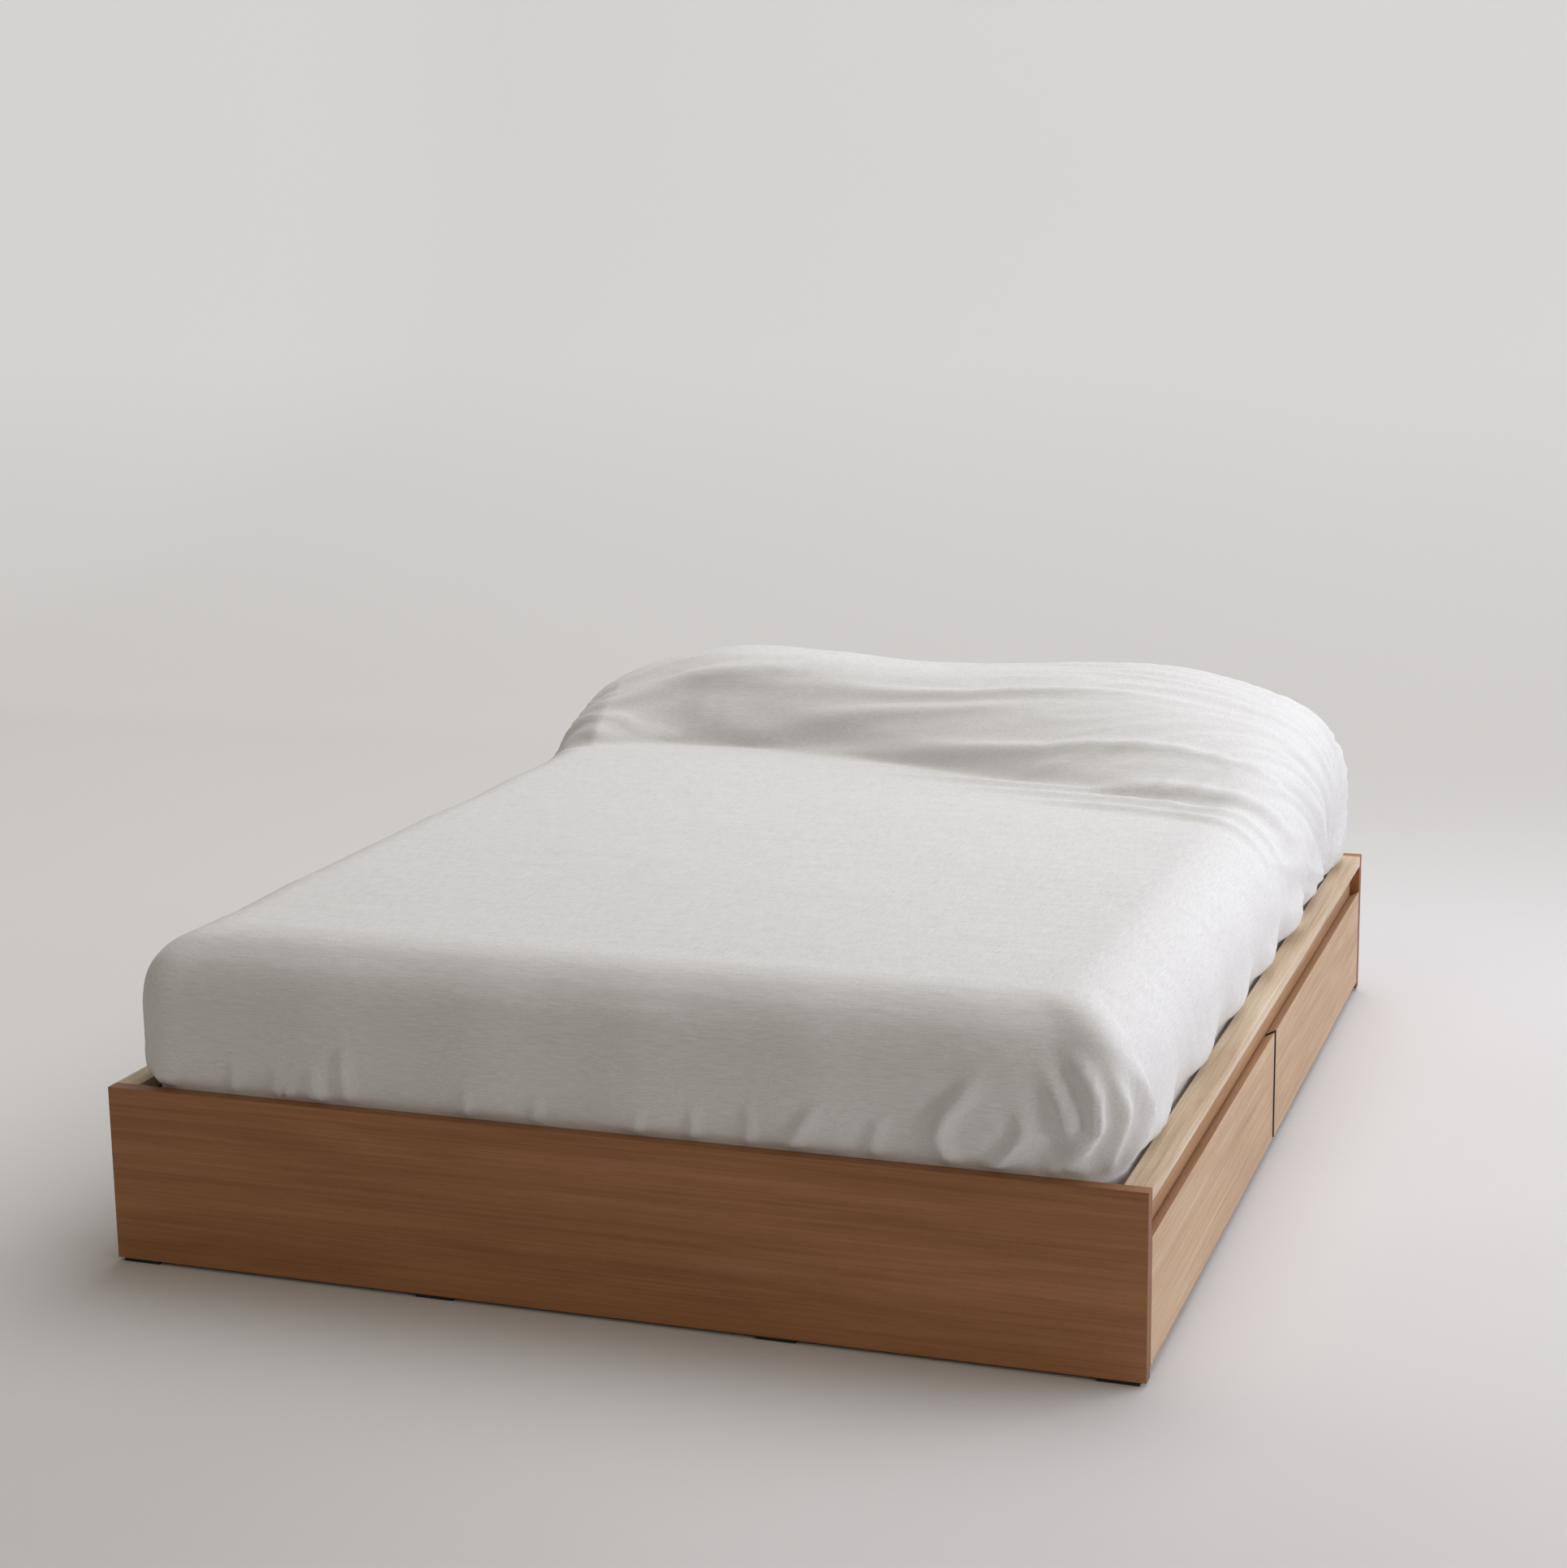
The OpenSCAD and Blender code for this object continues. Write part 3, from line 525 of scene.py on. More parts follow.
def dress_repeats(materials):
    """Slats, floor glides and all the screws."""
    bars = seat_tree("eased_bars", ("Length", "Width", "Thickness", "Ease"), eased_bar)
    for node, slot, finish, ease in (("slats", "birch_ply", "birch_flat", 2.5 * MM),
                                     ("floor_glides", "black_glide", "glide", 1.2 * MM)):
        sizes = np.sort(np.ptp(solids_of(node)[0], axis=0))
        made = seat_pieces(node + "_eased", bars, bar_seats(node), {
            "Length": float(sizes[2]), "Width": float(sizes[1]), "Thickness": float(sizes[0]),
            "Ease": ease, "Finish": materials[finish]})
        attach(made, "frame")
        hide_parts(node)
    screws = seat_tree("countersunk_screws", ("Head radius", "Shank radius", "Head depth", "Shank length",
                                              "Socket radius"), countersunk_screw)
    groups = [("bracket_screws", "frame"), ("rail_screws", "frame")]
    groups += [(f"{side}_{end}_drawer_screws", f"{side}_{end}_drawer") for side, end in QUARTERS]
    for node, body in groups:
        made = seat_pieces(node + "_socketed", screws, screw_seats(node), {
            "Head radius": 3.6 * MM, "Shank radius": 1.9 * MM, "Head depth": 1.2 * MM,
            "Shank length": 7.8 * MM, "Socket radius": 1.5 * MM, "Finish": materials["steel"]})
        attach(made, body)
        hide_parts(node)


# ---- Bedding ----

COVER_LOW, COVER_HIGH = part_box("bedcover")
BED_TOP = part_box("cap_right")[1].z
MATTRESS_LOW, MATTRESS_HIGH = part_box("mattress")
HALF_X = MATTRESS_HIGH.x
HALF_Y = MATTRESS_HIGH.y
CORNER = 60 * MM          # plan radius of the mattress's corners
EDGE = 40 * MM            # radius of its long edges
TAPE_ROLL = 3.5 * MM      # how far the tape on its edges stands out
CELL = 8 * MM             # the cover's mesh
SIDE_RINGS = 34           # rings from the tuck up to the shoulder
INSET = 95 * MM           # from the mattress's side in to the shoulder, where the flat top begins
SHOULDER_ROUND = 45 * MM  # plan radius of the shoulder's corners
HEM_OUT = 10.4 * MM       # outer face at the tuck, outside the mattress
LINING_OUT = 2.5 * MM     # inner face there
LOFT = 32 * MM            # the quilt under the cover
LEAST_LOFT = 9 * MM       # and what a fold leaves of it
RISE = 160 * MM           # height of the pillows under the cover
CREST = 0.76              # y of the crest over them


def ease_step(t):
    t = np.clip(t, 0, 1)
    return t * t * (3 - 2 * t)


def hump_across(x):
    """Two pillows side by side, low at the ends."""
    a = np.abs(x)
    mid = HALF_X / 2
    beyond = np.maximum(0, (a - mid) / (HALF_X - mid))
    dip = 0.09 * (1 - ease_step(a / mid))
    return 1 - dip - 0.60 * beyond ** 2.2 + 0.03 * np.exp(-((x + 0.34) / 0.22) ** 2)


def valley_y(x):
    """Where the cover starts to climb: close to the pillows on the left, well before them on the right."""
    return 0.59 - 0.31 * ease_step((x + 0.38) / 1.0) - 0.10 * ease_step((-x - 0.48) / 0.3)


def hump_along(x, y):
    """Steep climb out of a crisp valley, round crest, softer fall to the head panel."""
    start = valley_y(x)
    t = np.clip((y - start) / (CREST - start), 0, 1)
    climb = 1 - (1 - t) ** 2.0
    toe = ease_step((y - start + 0.01) / 0.06)
    back = ease_step((y - 0.83) / 0.17)
    return climb * toe * (1 - 0.30 * back)


def cover_top(x, y):
    crown = (1 - (np.abs(x) / HALF_X) ** 2) * (1 - (np.abs(y) / HALF_Y) ** 2)
    return MATTRESS_HIGH.z + LOFT + 8 * MM * crown + RISE * hump_across(x) * hump_along(x, y)


def finish_mesh(name, points, faces, material, smooth=True):
    mesh = bpy.data.meshes.new(name)
    mesh.from_pydata([tuple(p) for p in points], [], faces)
    mesh.validate()
    for polygon in mesh.polygons:
        polygon.use_smooth = smooth
    mesh.materials.append(material)
    return put(name, mesh)


def grid_lines(half, cell):
    """Lines across a half size, closer over the rounded corner."""
    corner = np.linspace(0, 1, 9) ** 1.2 * CORNER
    straight = np.linspace(-half + CORNER, half - CORNER, 4 * int((half - CORNER) / cell / 2) + 1)
    return np.concatenate([-half + corner[:-1], straight, half - corner[-2::-1]])


def border(xs, ys):
    """Counter-clockwise border points of a grid, from its foot-left corner."""
    foot = [(x, ys[0]) for x in xs[:-1]]
    right = [(xs[-1], y) for y in ys[:-1]]
    head = [(x, ys[-1]) for x in xs[:0:-1]]
    left = [(xs[0], y) for y in ys[:0:-1]]
    return np.array(foot + right + head + left)


def outline(points):
    """Rounded-corner centres and outward directions for sharp border points."""
    core = np.stack([np.clip(points[:, 0], -HALF_X + CORNER, HALF_X - CORNER),
                     np.clip(points[:, 1], -HALF_Y + CORNER, HALF_Y - CORNER)], 1)
    away = points - core
    return core, away / np.linalg.norm(away, axis=1)[:, None]


def plan_of(xs, ys):
    """A grid's cells each way and round its border, and the border's rounded outline."""
    nx, ny = len(xs) - 1, len(ys) - 1
    return nx, ny, 2 * (nx + ny), *outline(border(xs, ys))


def inside_edge(xs, ys):
    """The grid's inner points, drawn in as far as the mattress's rounded edge."""
    shrink_x, shrink_y = (HALF_X - EDGE) / HALF_X, (HALF_Y - EDGE) / HALF_Y
    return (g.ravel() for g in np.meshgrid(xs[1:-1] * shrink_x, ys[1:-1] * shrink_y))


def slow_noise(u, v, seed):
    """Smooth gradient noise in two dimensions, about -0.7 to 0.7."""
    angles = np.random.default_rng(seed).uniform(0, 2 * math.pi, (128, 128))
    iu, iv = np.floor(u).astype(int), np.floor(v).astype(int)
    fu, fv = u - iu, v - iv
    wu, wv = ease_step(fu), ease_step(fv)

    def corner(du, dv):
        angle = angles[(iu + du) % 128, (iv + dv) % 128]
        return np.cos(angle) * (fu - du) + np.sin(angle) * (fv - dv)

    low = corner(0, 0) * (1 - wu) + corner(1, 0) * wu
    high = corner(0, 1) * (1 - wu) + corner(1, 1) * wu
    return low * (1 - wv) + high * wv


def creases(u, v, seed):
    """Long soft folds with narrow crests: u runs across them, v along them."""
    crest = np.clip(1 - np.abs(slow_noise(u, v, seed)) * 2.6, 0, 1) ** 1.5
    return 0.75 * crest + 0.5 * slow_noise(u * 0.5 + 9, v * 0.7, seed + 1)


def strokes(a, b, paths, width, height):
    """Ridges along given paths in the plane (a, b): fading at both ends."""
    total = np.zeros(len(a))
    for path in paths:
        knots = np.array(path, float)
        lengths = np.linalg.norm(np.diff(knots, axis=0), axis=1)
        start = np.concatenate([[0], np.cumsum(lengths)])
        best = np.full(len(a), 9.0)
        along = np.zeros(len(a))
        for i in range(len(knots) - 1):
            d = knots[i + 1] - knots[i]
            t = np.clip(((a - knots[i, 0]) * d[0] + (b - knots[i, 1]) * d[1]) / (d @ d), 0, 1)
            gap = np.hypot(a - knots[i, 0] - t * d[0], b - knots[i, 1] - t * d[1])
            nearer = gap < best
            best = np.where(nearer, gap, best)
            along = np.where(nearer, (start[i] + t * lengths[i]) / start[-1], along)
        fade = np.clip(np.sin(math.pi * np.clip(along, 0.02, 0.98)), 0, 1) ** 0.6
        total += height * fade * np.exp(-(best / width) ** 2)
    return total


SHOULDER_RATIO = np.array([(HALF_X - INSET - SHOULDER_ROUND) / (HALF_X - CORNER),
                           (HALF_Y - INSET - SHOULDER_ROUND) / (HALF_Y - CORNER)])


def shoulder_line(core, away):
    """Where the rounded sides of the cover end and its top begins."""
    return core * SHOULDER_RATIO + away * SHOULDER_ROUND


def top_plan(gx, gy):
    """Moves points of the sharp plan inside the shoulder line, corners rounded as that line is."""
    points = np.column_stack([gx, gy])
    core = np.clip(points, [CORNER - HALF_X, CORNER - HALF_Y], [HALF_X - CORNER, HALF_Y - CORNER])
    over = (points - core) / CORNER
    length = np.linalg.norm(over, axis=1)
    over *= (np.abs(over).max(axis=1) / np.maximum(length, 1e-9))[:, None]
    return (core * SHOULDER_RATIO + over * SHOULDER_ROUND).T


def cover_rings(core, away, run):
    """Side rings of the cover's outer face, from the hem in the tuck up to the shoulder."""
    top_line = shoulder_line(core, away)
    rise_to = cover_top(top_line[:, 0], top_line[:, 1])
    step_in = top_line - away * MM
    slope = np.maximum(0, cover_top(step_in[:, 0], step_in[:, 1]) - rise_to) / MM
    lip_z = BED_TOP + 3 * MM
    # The lower edge hangs in swags: it swells out at once in their middle and slowly between them
    swag = (0.5 + 0.5 * np.sin(run / 0.29 * 2 * math.pi + 1.2 * np.sin(run * 3.1))) ** 1.5
    quick = 2.0 + 7.0 * swag * np.abs(away[:, 0]) + 2.5 * swag
    bulge = (29 + 8 * np.abs(away[:, 0])) * MM - (1 - swag) * 5 * MM
    belly, belly_height = 0.36, 0.42
    # The cover is fuller at its two foot corners, where it goes round the mattress's corners
    fuller = 1 + 0.55 * (2 * away[:, 0] * np.minimum(away[:, 1], 0)) ** 2
    rings = []
    for z in np.linspace(COVER_LOW.z, lip_z, 6):
        plan = core + away * (CORNER + HEM_OUT)
        rings.append(np.column_stack([plan, np.full(len(plan), z)]))
    for t in np.linspace(0, 1, SIDE_RINGS + 1)[1:]:
        if t < belly:
            out = 1 - (1 - t / belly) ** quick
            height, inward = t / belly * belly_height, np.zeros(len(core))
        else:
            turn = (t - belly) / (1 - belly) * math.pi / 2
            out = np.ones(len(core))
            height = belly_height + (1 - belly_height) * math.sin(turn)
            inward = (1 - math.cos(turn)) ** fuller
        side = core + away * (CORNER + HEM_OUT + (bulge - HEM_OUT) * out)[:, None]
        # Near the shoulder the side follows the slope of the top, so that no ridge shows between them
        reach = INSET + bulge
        to_go = reach * (1 - inward)
        lean = slope * to_go * (1 - to_go / reach)
        rings.append(np.column_stack([side * (1 - inward)[:, None] + top_line * inward[:, None],
                                      lip_z + (rise_to - lip_z) * height - lean]))
    return rings


def grid_faces(nx, ny, ring_count, loop, base=0, inward=False):
    """Quads of the side rings and of the grid inside the last ring."""
    quads = []
    for r in range(ring_count - 1):
        a = base + r * loop
        quads += [(a + k, a + (k + 1) % loop, a + loop + (k + 1) % loop, a + loop + k)
                  for k in range(loop)]
    last = base + (ring_count - 1) * loop
    inside = base + ring_count * loop

    def corner_id(i, j):
        if 0 < i < nx and 0 < j < ny:
            return inside + (j - 1) * (nx - 1) + i - 1
        if j == 0:
            return last + i
        if i == nx:
            return last + nx + j
        if j == ny:
            return last + 2 * nx + ny - i
        return last + (loop - j) % loop

    quads += [(corner_id(i, j), corner_id(i + 1, j), corner_id(i + 1, j + 1), corner_id(i, j + 1))
              for j in range(ny) for i in range(nx)]
    return [q[::-1] for q in quads] if inward else quads


def vertex_normals(points, quads):
    q = np.array(quads)
    normal = np.cross(points[q[:, 2]] - points[q[:, 0]], points[q[:, 3]] - points[q[:, 1]])
    total = np.zeros_like(points)
    for corner in range(4):
        np.add.at(total, q[:, corner], normal)
    return total / np.maximum(np.linalg.norm(total, axis=1), 1e-12)[:, None]


# Folds on the foot side near the right corner, as (run, height) paths with a width and a height in mm
CORNER_FOLDS = [
    ([(0.569, 0.415), (0.522, 0.362), (0.510, 0.326), (0.533, 0.288)], 12, 14),
    ([(0.627, 0.378), (0.634, 0.344), (0.600, 0.300), (0.575, 0.285)], 9, 10),
    ([(0.667, 0.424), (0.690, 0.379), (0.702, 0.333), (0.668, 0.287)], 12, 15),
    ([(0.706, 0.456), (0.724, 0.405), (0.726, 0.359), (0.702, 0.309), (0.712, 0.285)], 9, 17),
    ([(0.745, 0.430), (0.762, 0.380), (0.752, 0.330), (0.748, 0.290)], 10, 9),
    ([(0.785, 0.430), (0.806, 0.367), (0.784, 0.317), (0.790, 0.290)], 11, 13),
    ([(0.336, 0.356), (0.306, 0.318), (0.293, 0.286)], 10, 8),
    ([(0.430, 0.350), (0.415, 0.310), (0.420, 0.284)], 9, 6),
    ([(-0.406, 0.380), (-0.408, 0.330), (-0.404, 0.284)], 9, 7),
]
# Short puckers where the cover is pushed down behind the footboard
FOOT_PUCKERS = [-0.755, -0.723, -0.705, -0.599, -0.524, -0.505, -0.463, -0.450,
                -0.210, -0.100, 0.060, 0.145, 0.230]


def fold_height(flat_x, flat_q, run, points, drop):
    """Height of the folds over the smooth cover, in metres."""
    x, y, z = points.T
    over = flat_q - section_length(valley_y(flat_x))
    valley = section_length(0.40)
    on_bulge = ease_step((over + 0.02) / 0.06)
    side = ease_step(drop / 0.10)
    # Two fans of folds, drawn together where the cover is tucked in beside the pillows
    right_x, right_q = 1.10, valley + 0.36
    left_x, left_q = -1.06, valley + 0.18
    bearing_r = np.arctan2(flat_q - right_q, right_x - flat_x)
    reach_r = np.hypot(flat_q - right_q, right_x - flat_x)
    bearing_l = np.arctan2(flat_q - left_q, flat_x - left_x)
    reach_l = np.hypot(flat_q - left_q, flat_x - left_x)
    bend = slow_noise(flat_x / 0.35, flat_q / 0.30, 5) * 0.10
    fan_r = creases((bearing_r + bend) / 0.075, reach_r / 0.42, 11)
    fan_l = creases((bearing_l + bend) / 0.085, reach_l / 0.38, 23)
    share_r = ease_step((flat_x + 0.15) / 0.55)
    near_r = np.exp(-np.maximum(0, reach_r - 0.30) / 0.42)
    near_l = np.exp(-np.maximum(0, reach_l - 0.28) / 0.36)
    in_front = np.exp(-np.maximum(0, -over) / 0.16) * ease_step((flat_x - 0.10) / 0.5)
    zone_r = np.maximum(on_bulge, in_front)
    zone_l = np.maximum(on_bulge, np.exp(-np.maximum(0, -over) / 0.04) * near_l)
    folds = share_r * zone_r * fan_r * (3.0 + 8.5 * near_r) * MM
    folds += (1 - share_r) * zone_l * fan_l * (2.6 + 8.0 * near_l) * MM
    # Long low folds lying along the front of the pillows
    long_folds = [
        [(-0.80, 0.52), (-0.45, 0.62), (-0.10, 0.60), (0.25, 0.56)],
        [(-0.40, 0.625), (-0.05, 0.53), (0.30, 0.43), (0.75, 0.42)],
        [(-0.20, 0.66), (0.10, 0.62), (0.55, 0.60)],
        [(0.00, 0.40), (0.40, 0.325), (0.80, 0.32)],
        [(0.20, 0.32), (0.55, 0.27), (0.84, 0.22)],
        [(0.30, 0.25), (0.60, 0.20), (0.84, 0.12)],
        [(-0.70, 0.60), (-0.50, 0.68), (-0.25, 0.70)],
    ]
    long_folds = [[(px, section_length(py)) for px, py in path] for path in long_folds]
    folds += strokes(flat_x, flat_q, long_folds, 15 * MM, 11.0 * MM)
    # Folds at the foot-right corner
    foot = ease_step(-y / HALF_Y * 8 - 6.5) * side
    for path, width, height in CORNER_FOLDS:
        folds += foot * strokes(run, z, [path], width * MM, 1.35 * height * MM)
        beside = [(at - 0.022, high) for at, high in path]
        folds -= foot * strokes(run, z, [beside], 1.1 * width * MM, 0.4 * height * MM)
    pucker_paths = [[(s + 0.003, 0.335 + 0.018 * math.sin(90 * s)), (s, 0.30), (s - 0.002, 0.26)]
                    for s in FOOT_PUCKERS]
    folds += foot * strokes(run, z, pucker_paths, 7.0 * MM, 8.0 * MM)
    # Fine gathers all round the tuck, and a slow unevenness everywhere
    low = np.exp(-np.maximum(0, z - BED_TOP) / 0.035) * side
    folds += low * creases(run / 0.045, z / 0.10, 31) * 3.0 * MM
    folds += slow_noise(x / 0.50, y / 0.17, 41) * 3.2 * MM
    folds += slow_noise(x / 0.55, y / 0.030 + z / 0.05, 43) * 1.0 * MM
    # The cloth is held still where it is pushed into the tuck
    held = ease_step((z - BED_TOP + 0.004) / 0.022)
    return folds * held


def section_length(y):
    """Length of the cover's middle section from the foot to y, as the tape would measure it."""
    line = np.linspace(-HALF_Y, HALF_Y, 2001)
    z = cover_top(np.full_like(line, 0.3), line)
    tape = np.concatenate([[0], np.cumsum(np.hypot(np.diff(line), np.diff(z)))]) - HALF_Y
    return np.interp(y, line, tape)


def make_cover(material):
    """Cotton cover over a thin quilt: outer face with all its folds, plain inner face."""
    xs, ys = grid_lines(HALF_X, CELL), grid_lines(HALF_Y, CELL)
    nx, ny, loop, core, away = plan_of(xs, ys)
    lip = core + away * (CORNER + HEM_OUT)
    step = np.linalg.norm(lip - np.roll(lip, 1, axis=0), axis=1)
    # Run along the edge in metres: 0 at the middle of the foot end, growing towards the right
    run = np.cumsum(step) - step[0] - np.sum(step[1:nx + 1]) / 2
    rings = cover_rings(core, away, run)
    gx, gy = top_plan(*(g.ravel() for g in np.meshgrid(xs[1:-1], ys[1:-1])))
    points = np.concatenate(rings + [np.column_stack([gx, gy, cover_top(gx, gy)])])

    # Unfolded plan: each side laid out flat around the top
    drops = [np.zeros(loop)]
    for upper, lower in zip(rings[::-1][:-1], rings[::-1][1:]):
        drops.append(drops[-1] + np.linalg.norm(upper - lower, axis=1))
    drops = drops[::-1]
    top_line = shoulder_line(core, away)
    flat_x = np.concatenate([top_line[:, 0] + away[:, 0] * d for d in drops] + [gx])
    flat_q = np.concatenate([section_length(top_line[:, 1]) + away[:, 1] * d for d in drops]
                            + [section_length(gy)])
    drop = np.concatenate(drops + [np.zeros(len(gx))])
    runs = np.concatenate([run] * len(rings) + [np.zeros(len(gx))])
    quads = grid_faces(nx, ny, len(rings), loop)
    normals = vertex_normals(points, quads)
    points = points + normals * fold_height(flat_x, flat_q, runs, points, drop)[:, None]
    low_points, low_faces = cover_lining(xs, ys, loop, len(points))
    keep_inside(low_points, points, quads)
    cover = finish_mesh("cotton_cover", np.concatenate([points, low_points]), quads + low_faces, material)
    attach(cover, "frame")
    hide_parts("bedcover")


def keep_inside(lining, points, quads):
    """Draws the lining in wherever a fold of the outer face would leave too little loft."""
    outer = BVHTree.FromPolygons([tuple(p) for p in points], quads)
    for i in np.flatnonzero(lining[:, 2] > BED_TOP + 20 * MM):
        nearest, normal, _, _ = outer.find_nearest(lining[i])
        inside = (nearest - Vector(lining[i])).dot(normal)
        if inside < LEAST_LOFT:
            lining[i] = nearest - normal * LEAST_LOFT


def cover_lining(xs, ys, loop, base):
    """The cover's plain inner face, one coarse cell to four fine ones, and the hem that joins it on."""
    cx, cy = xs[::4], ys[::4]
    nx, ny, coarse, core, away = plan_of(cx, cy)
    top_line = core + away * (CORNER - EDGE)
    top = cover_top(top_line[:, 0], top_line[:, 1]) - LOFT
    hem = np.full(len(core), COVER_LOW.z)
    # Down the side, round the mattress's edge and on to its top
    rings = [np.column_stack([core + away * (CORNER + off), z])
             for z, off in ((hem, LINING_OUT), (top - 42 * MM, LINING_OUT), (top - 12 * MM, -9 * MM),
                            (top, -EDGE))]
    gx, gy = inside_edge(cx, cy)
    points = np.concatenate(rings + [np.column_stack([gx, gy, cover_top(gx, gy) - LOFT])])
    faces = grid_faces(nx, ny, len(rings), coarse, base, inward=True)
    for j in range(coarse):
        fine = [(4 * j + k) % loop for k in (4, 3, 2, 1, 0)]
        faces.append(tuple(fine) + (base + j, base + (j + 1) % coarse))
    return points, faces


def make_mattress(material):
    """Foam mattress in knitted ticking: taped edges and shallow quilting on the top."""
    cell = 12 * MM
    xs, ys = grid_lines(HALF_X, cell), grid_lines(HALF_Y, cell)
    nx, ny, loop, core, away = plan_of(xs, ys)
    height = MATTRESS_HIGH.z - MATTRESS_LOW.z
    # Side profile from the bottom edge to the top edge: rounded corners with a tape roll on each
    profile = []
    for z, roll_sign in ((EDGE, 1), (height - EDGE, -1)):
        turn = []
        for step in range(9):
            angle = math.pi / 2 * step / 8
            bead = TAPE_ROLL * math.exp(-((step - 5) / 0.8) ** 2)
            turn.append((z - roll_sign * EDGE * math.cos(angle),
                         EDGE * (math.sin(angle) - 1) - TAPE_ROLL + bead))
        profile += turn if roll_sign > 0 else turn[::-1]
    rings = [np.column_stack([core + away * (CORNER + off), np.full(loop, MATTRESS_LOW.z + z)])
             for z, off in profile]
    gx, gy = inside_edge(xs, ys)
    inside = np.minimum(HALF_X - np.abs(gx), HALF_Y - np.abs(gy)) / (3 * EDGE)
    # Diamonds 120 mm across, stitched down 3 mm
    stitch = np.minimum(*(np.abs(np.sin(math.pi * way / 0.12)) for way in (gx + gy, gx - gy)))
    depth = 3 * MM * np.exp(-(stitch / 0.22) ** 2) * ease_step(inside)
    points = rings + [np.column_stack([gx, gy, MATTRESS_HIGH.z - depth - 0.2 * MM])]
    faces = grid_faces(nx, ny, len(rings), loop)
    base = sum(len(part) for part in points)
    under = [rings[0], np.column_stack([gx, gy, np.full(len(gx), MATTRESS_LOW.z)])]
    faces += grid_faces(nx, ny, 1, loop, base, inward=True)
    mesh_points = np.concatenate(points + under)
    mattress = finish_mesh("ticking_mattress", mesh_points, faces, material)
    work = welded(mattress.data, 0.001 * MM)
    work.to_mesh(mattress.data)
    work.free()
    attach(mattress, "frame")
    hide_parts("mattress")


def make_pillow(side, material):
    """Feather pillow: the CAD form blown up as cloth, with a seam drawn in round its rim."""
    node = f"pillow_{side}"
    low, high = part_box(node)
    middle = (low + high) / 2
    work = welded(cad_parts[node].data)
    for vert in work.verts:
        vert.co = middle + (vert.co - middle) * 0.985
    mesh = bpy.data.meshes.new(f"feather_{node}")
    work.to_mesh(mesh)
    work.free()
    pillow = put(f"feather_{node}", mesh)
    remesh = pillow.modifiers.new("even", "REMESH")
    remesh.mode = "VOXEL"
    remesh.voxel_size = 8 * MM
    bake(pillow)
    still = np.array([v.co[:] for v in pillow.data.vertices])
    cloth = pillow.modifiers.new("fill", "CLOTH")
    cloth.settings.use_pressure = True
    cloth.settings.uniform_pressure_force = 4.0
    cloth.settings.effector_weights.gravity = 0.0
    cloth.settings.quality = 5
    for step in range(1, 21):
        bpy.context.scene.frame_set(step)
    bake(pillow)
    bpy.context.scene.frame_set(1)
    now = np.array([v.co[:] for v in pillow.data.vertices])
    move = now - still
    size = np.linalg.norm(move, axis=1)
    move *= (np.minimum(size, 8 * MM) / np.maximum(size, 1e-9))[:, None]
    now = still + move
    # The seam runs round the rim, a fifth of the way up, drawn in 4 mm
    seam_z = low.z + 0.2 * (high.z - low.z)
    out = now - np.array(middle)
    out[:, 2] = 0
    length = np.linalg.norm(out, axis=1)
    near = np.exp(-((now[:, 2] - seam_z) / (5 * MM)) ** 2) * (length > 0.1)
    now -= out / np.maximum(length, 1e-9)[:, None] * (near * 4 * MM)[:, None]
    now = np.clip(now, np.array(low), np.array(high) + np.array([0, 0, 6 * MM]))
    for vert, co in zip(pillow.data.vertices, now):
        vert.co = co
    smooth = pillow.modifiers.new("smooth", "SUBSURF")
    smooth.levels = smooth.render_levels = 1
    bake(pillow)
    pillow.data.materials.clear()
    pillow.data.materials.append(material)
    for polygon in pillow.data.polygons:
        polygon.use_smooth = True
    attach(pillow, "frame")
    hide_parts(node)


def bake(thing):
    """Makes what the modifiers give the object's own mesh, and takes them off."""
    graph = bpy.context.evaluated_depsgraph_get()
    result = bpy.data.meshes.new_from_object(thing.evaluated_get(graph))
    thing.modifiers.clear()
    thing.data = result


# ---- Stage ----

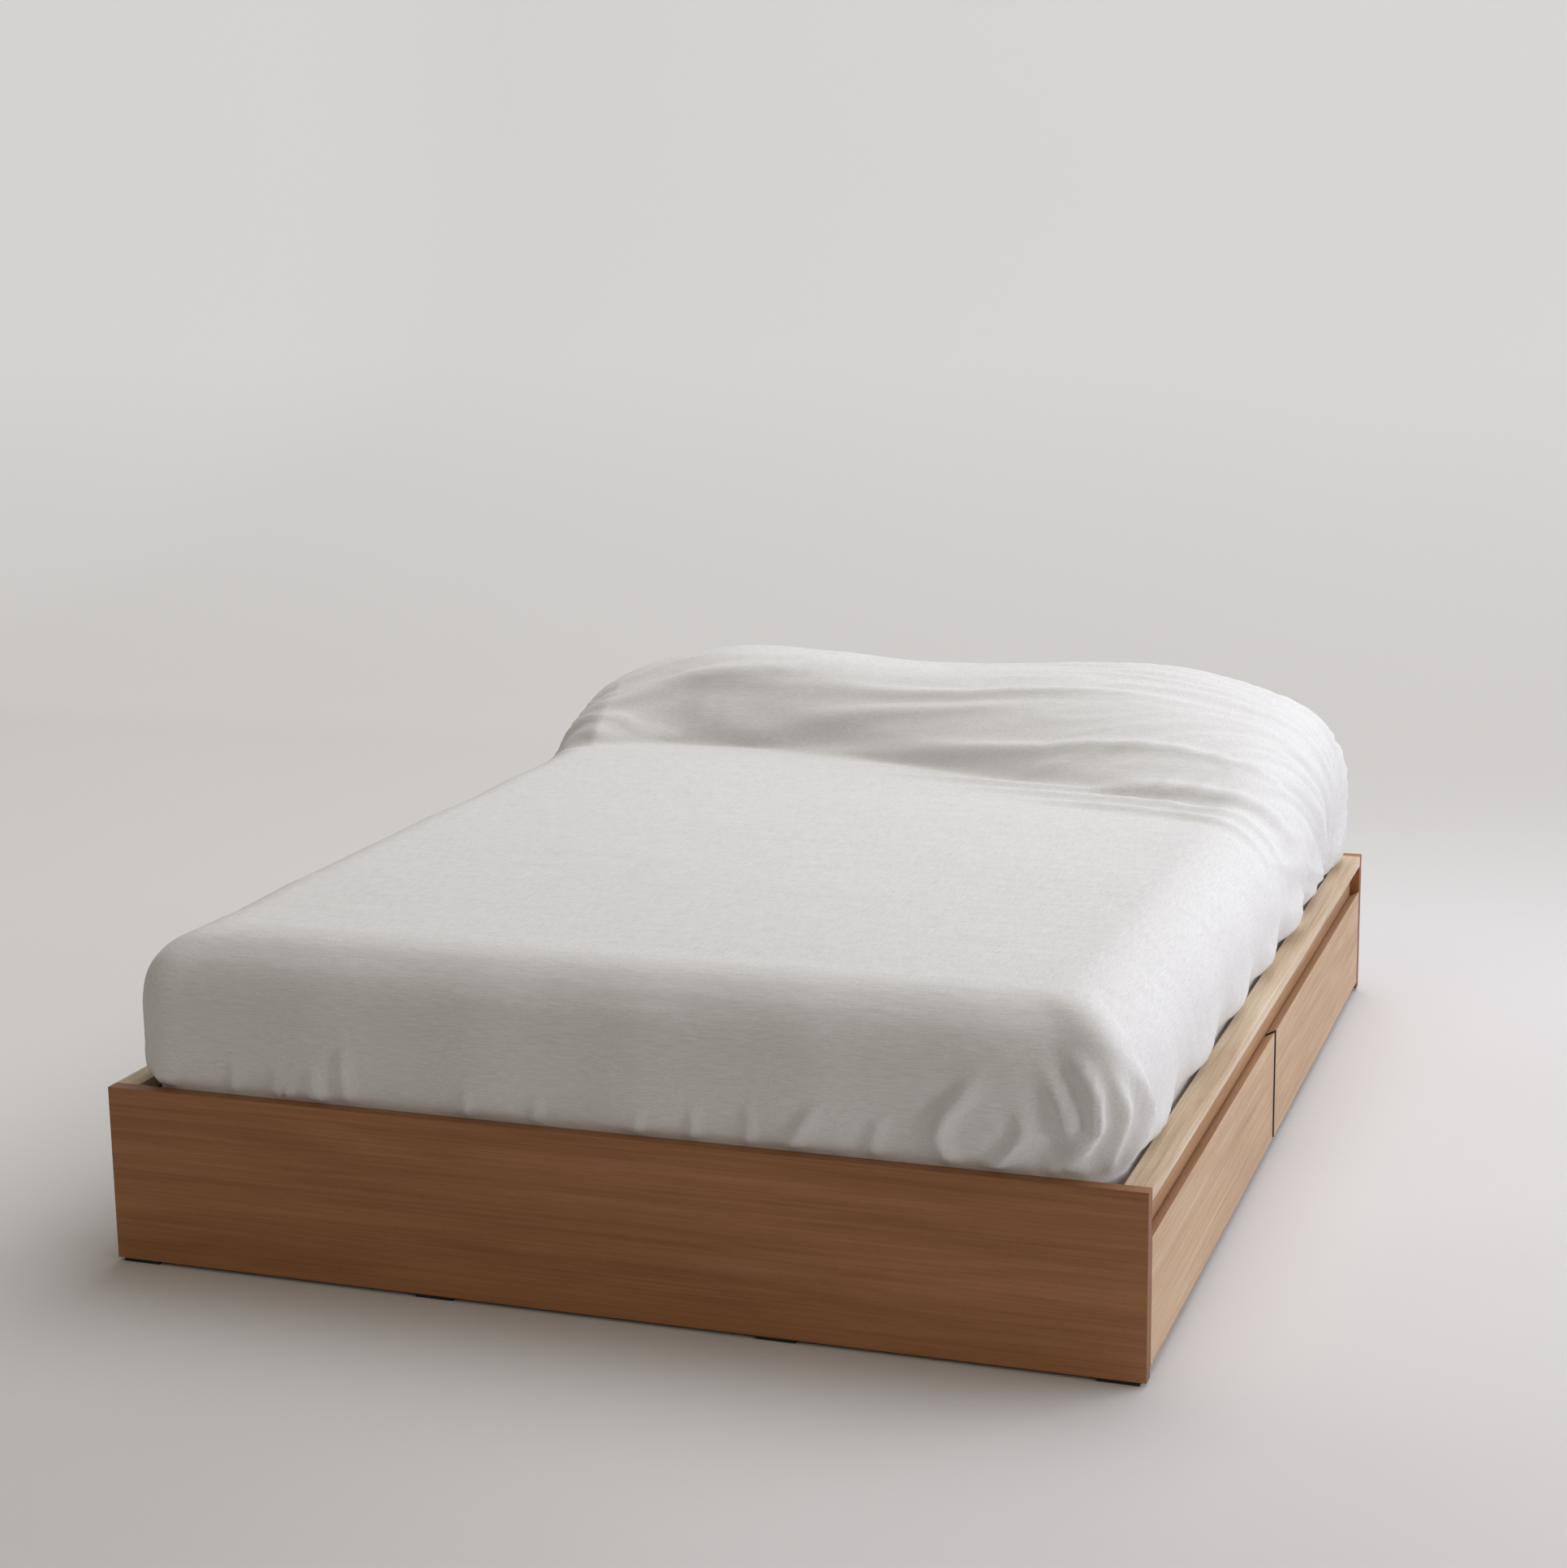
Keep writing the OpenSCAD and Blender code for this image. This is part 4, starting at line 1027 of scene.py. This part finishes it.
def painted_sweep(name):
    """Matt emulsion on the sweep: the wall shows at its own tone, the floor takes the bed's shadow."""
    material, tree = new_material(name)
    coords = add(tree, "ShaderNodeTexCoord").outputs["Object"]
    mottle = add(tree, "ShaderNodeTexNoise", {"Vector": coords}, Scale=0.7, Detail=2.0)
    tone = add(tree, "ShaderNodeValToRGB", {"Fac": mottle},
               stops=((0.3, "d6d4d2"), (0.7, "dcdad9")))
    paint_shader = add(tree, "ShaderNodeBsdfPrincipled", {"Base Color": tone}, Roughness=0.9)
    split = add(tree, "ShaderNodeSeparateXYZ", {"Vector": coords})
    flat = add(tree, "ShaderNodeCombineXYZ", {"X": split.outputs["X"], "Y": split.outputs["Y"]})
    distance = add(tree, "ShaderNodeVectorMath", {0: flat}, operation="LENGTH")
    # The wall's own tone takes over behind the bed, to its left and far away: from, to and its most
    back, left, far = [
        add(tree, "ShaderNodeMapRange", {"Value": value}, interpolation_type="SMOOTHSTEP",
            From_Min=start, From_Max=end, To_Max=most).outputs["Result"]
        for value, start, end, most in ((split.outputs["Y"], 1.2, 3.4, 0.85),
                                        (split.outputs["X"], -0.85, -1.6, 0.75),
                                        (distance.outputs["Value"], 2.8, 6.5, 0.9))]
    back = add(tree, "ShaderNodeMath", {0: back, 1: left}, operation="MAXIMUM")
    back = add(tree, "ShaderNodeMath", {0: back, 1: far}, operation="MAXIMUM")
    rays = add(tree, "ShaderNodeLightPath")
    seen = add(tree, "ShaderNodeMath", {0: rays.outputs["Is Camera Ray"], 1: rays.outputs["Is Glossy Ray"]},
               operation="MAXIMUM")
    share = add(tree, "ShaderNodeMath", {0: seen, 1: back}, operation="MULTIPLY")
    # Painted light: the glow is a little lighter up the wall than on the floor
    glow_by_height = add(tree, "ShaderNodeValToRGB", {"Fac": split.outputs["Z"]},
               stops=((0.0, "d0cdcb"), (1.0, "dad9d8")))
    glow = add(tree, "ShaderNodeEmission", {"Color": glow_by_height}, Strength=1.0)
    mix = add(tree, "ShaderNodeMixShader", {
        "Fac": share, 1: paint_shader, 2: glow})
    close_material(tree, mix)
    return material


def make_stage():
    """Floor that sweeps up into the wall behind the bed."""
    radius, wall_y, half = 1.6, 5.2, 30.0
    profile = [(-30.0, 0.0)]
    for step in range(25):
        angle = math.radians(90 * step / 24)
        profile.append((wall_y - radius + radius * math.sin(angle), radius - radius * math.cos(angle)))
    profile.append((wall_y, 9.0))
    points = [(x, y, z) for y, z in profile for x in (-half, half)]
    faces = [(2 * i, 2 * i + 1, 2 * i + 3, 2 * i + 2) for i in range(len(profile) - 1)]
    sweep = finish_mesh("studio_sweep", points, faces, painted_sweep("painted_sweep"))


def area_light(name, at, aim, size, power, colour):
    data = bpy.data.lights.new(name, "AREA")
    data.shape = "RECTANGLE"
    data.size, data.size_y = size
    data.energy = power
    data.color = linear(colour)[:3]
    lamp = put(name, data)
    lamp.location = at
    lamp.rotation_euler = (Vector(aim) - Vector(at)).to_track_quat("-Z", "Y").to_euler()


def make_light():
    area_light("window", (5.4, 1.9, 2.8), (0.2, 0.0, 0.3), (5.4, 3.0), 190, "ebefff")
    area_light("ceiling", (0.8, 1.6, 5.2), (0.0, 0.3, 0.3), (5.0, 4.0), 184, "fafbff")
    # Rakes across the foot side, so that its folds show
    area_light("rake", (4.6, -2.6, 1.3), (0.5, -1.0, 0.35), (0.9, 0.9), 30, "f6f4f6")
    world = bpy.data.worlds.new("studio_air")
    bpy.context.scene.world = world
    world.use_nodes = True
    background = world.node_tree.nodes["Background"]
    background.inputs["Color"].default_value = linear("f4ead9")
    background.inputs["Strength"].default_value = 0.31


make_camera()
materials = make_materials()
dress_frame(materials)
dress_drawers(materials)
dress_repeats(materials)
make_mattress(materials["ticking"])
for side in SIDES:
    make_pillow(side, materials["pillowcase"])
make_cover(materials["cover"])
make_stage()
make_light()
bpy.context.scene.view_settings.view_transform = "Standard"
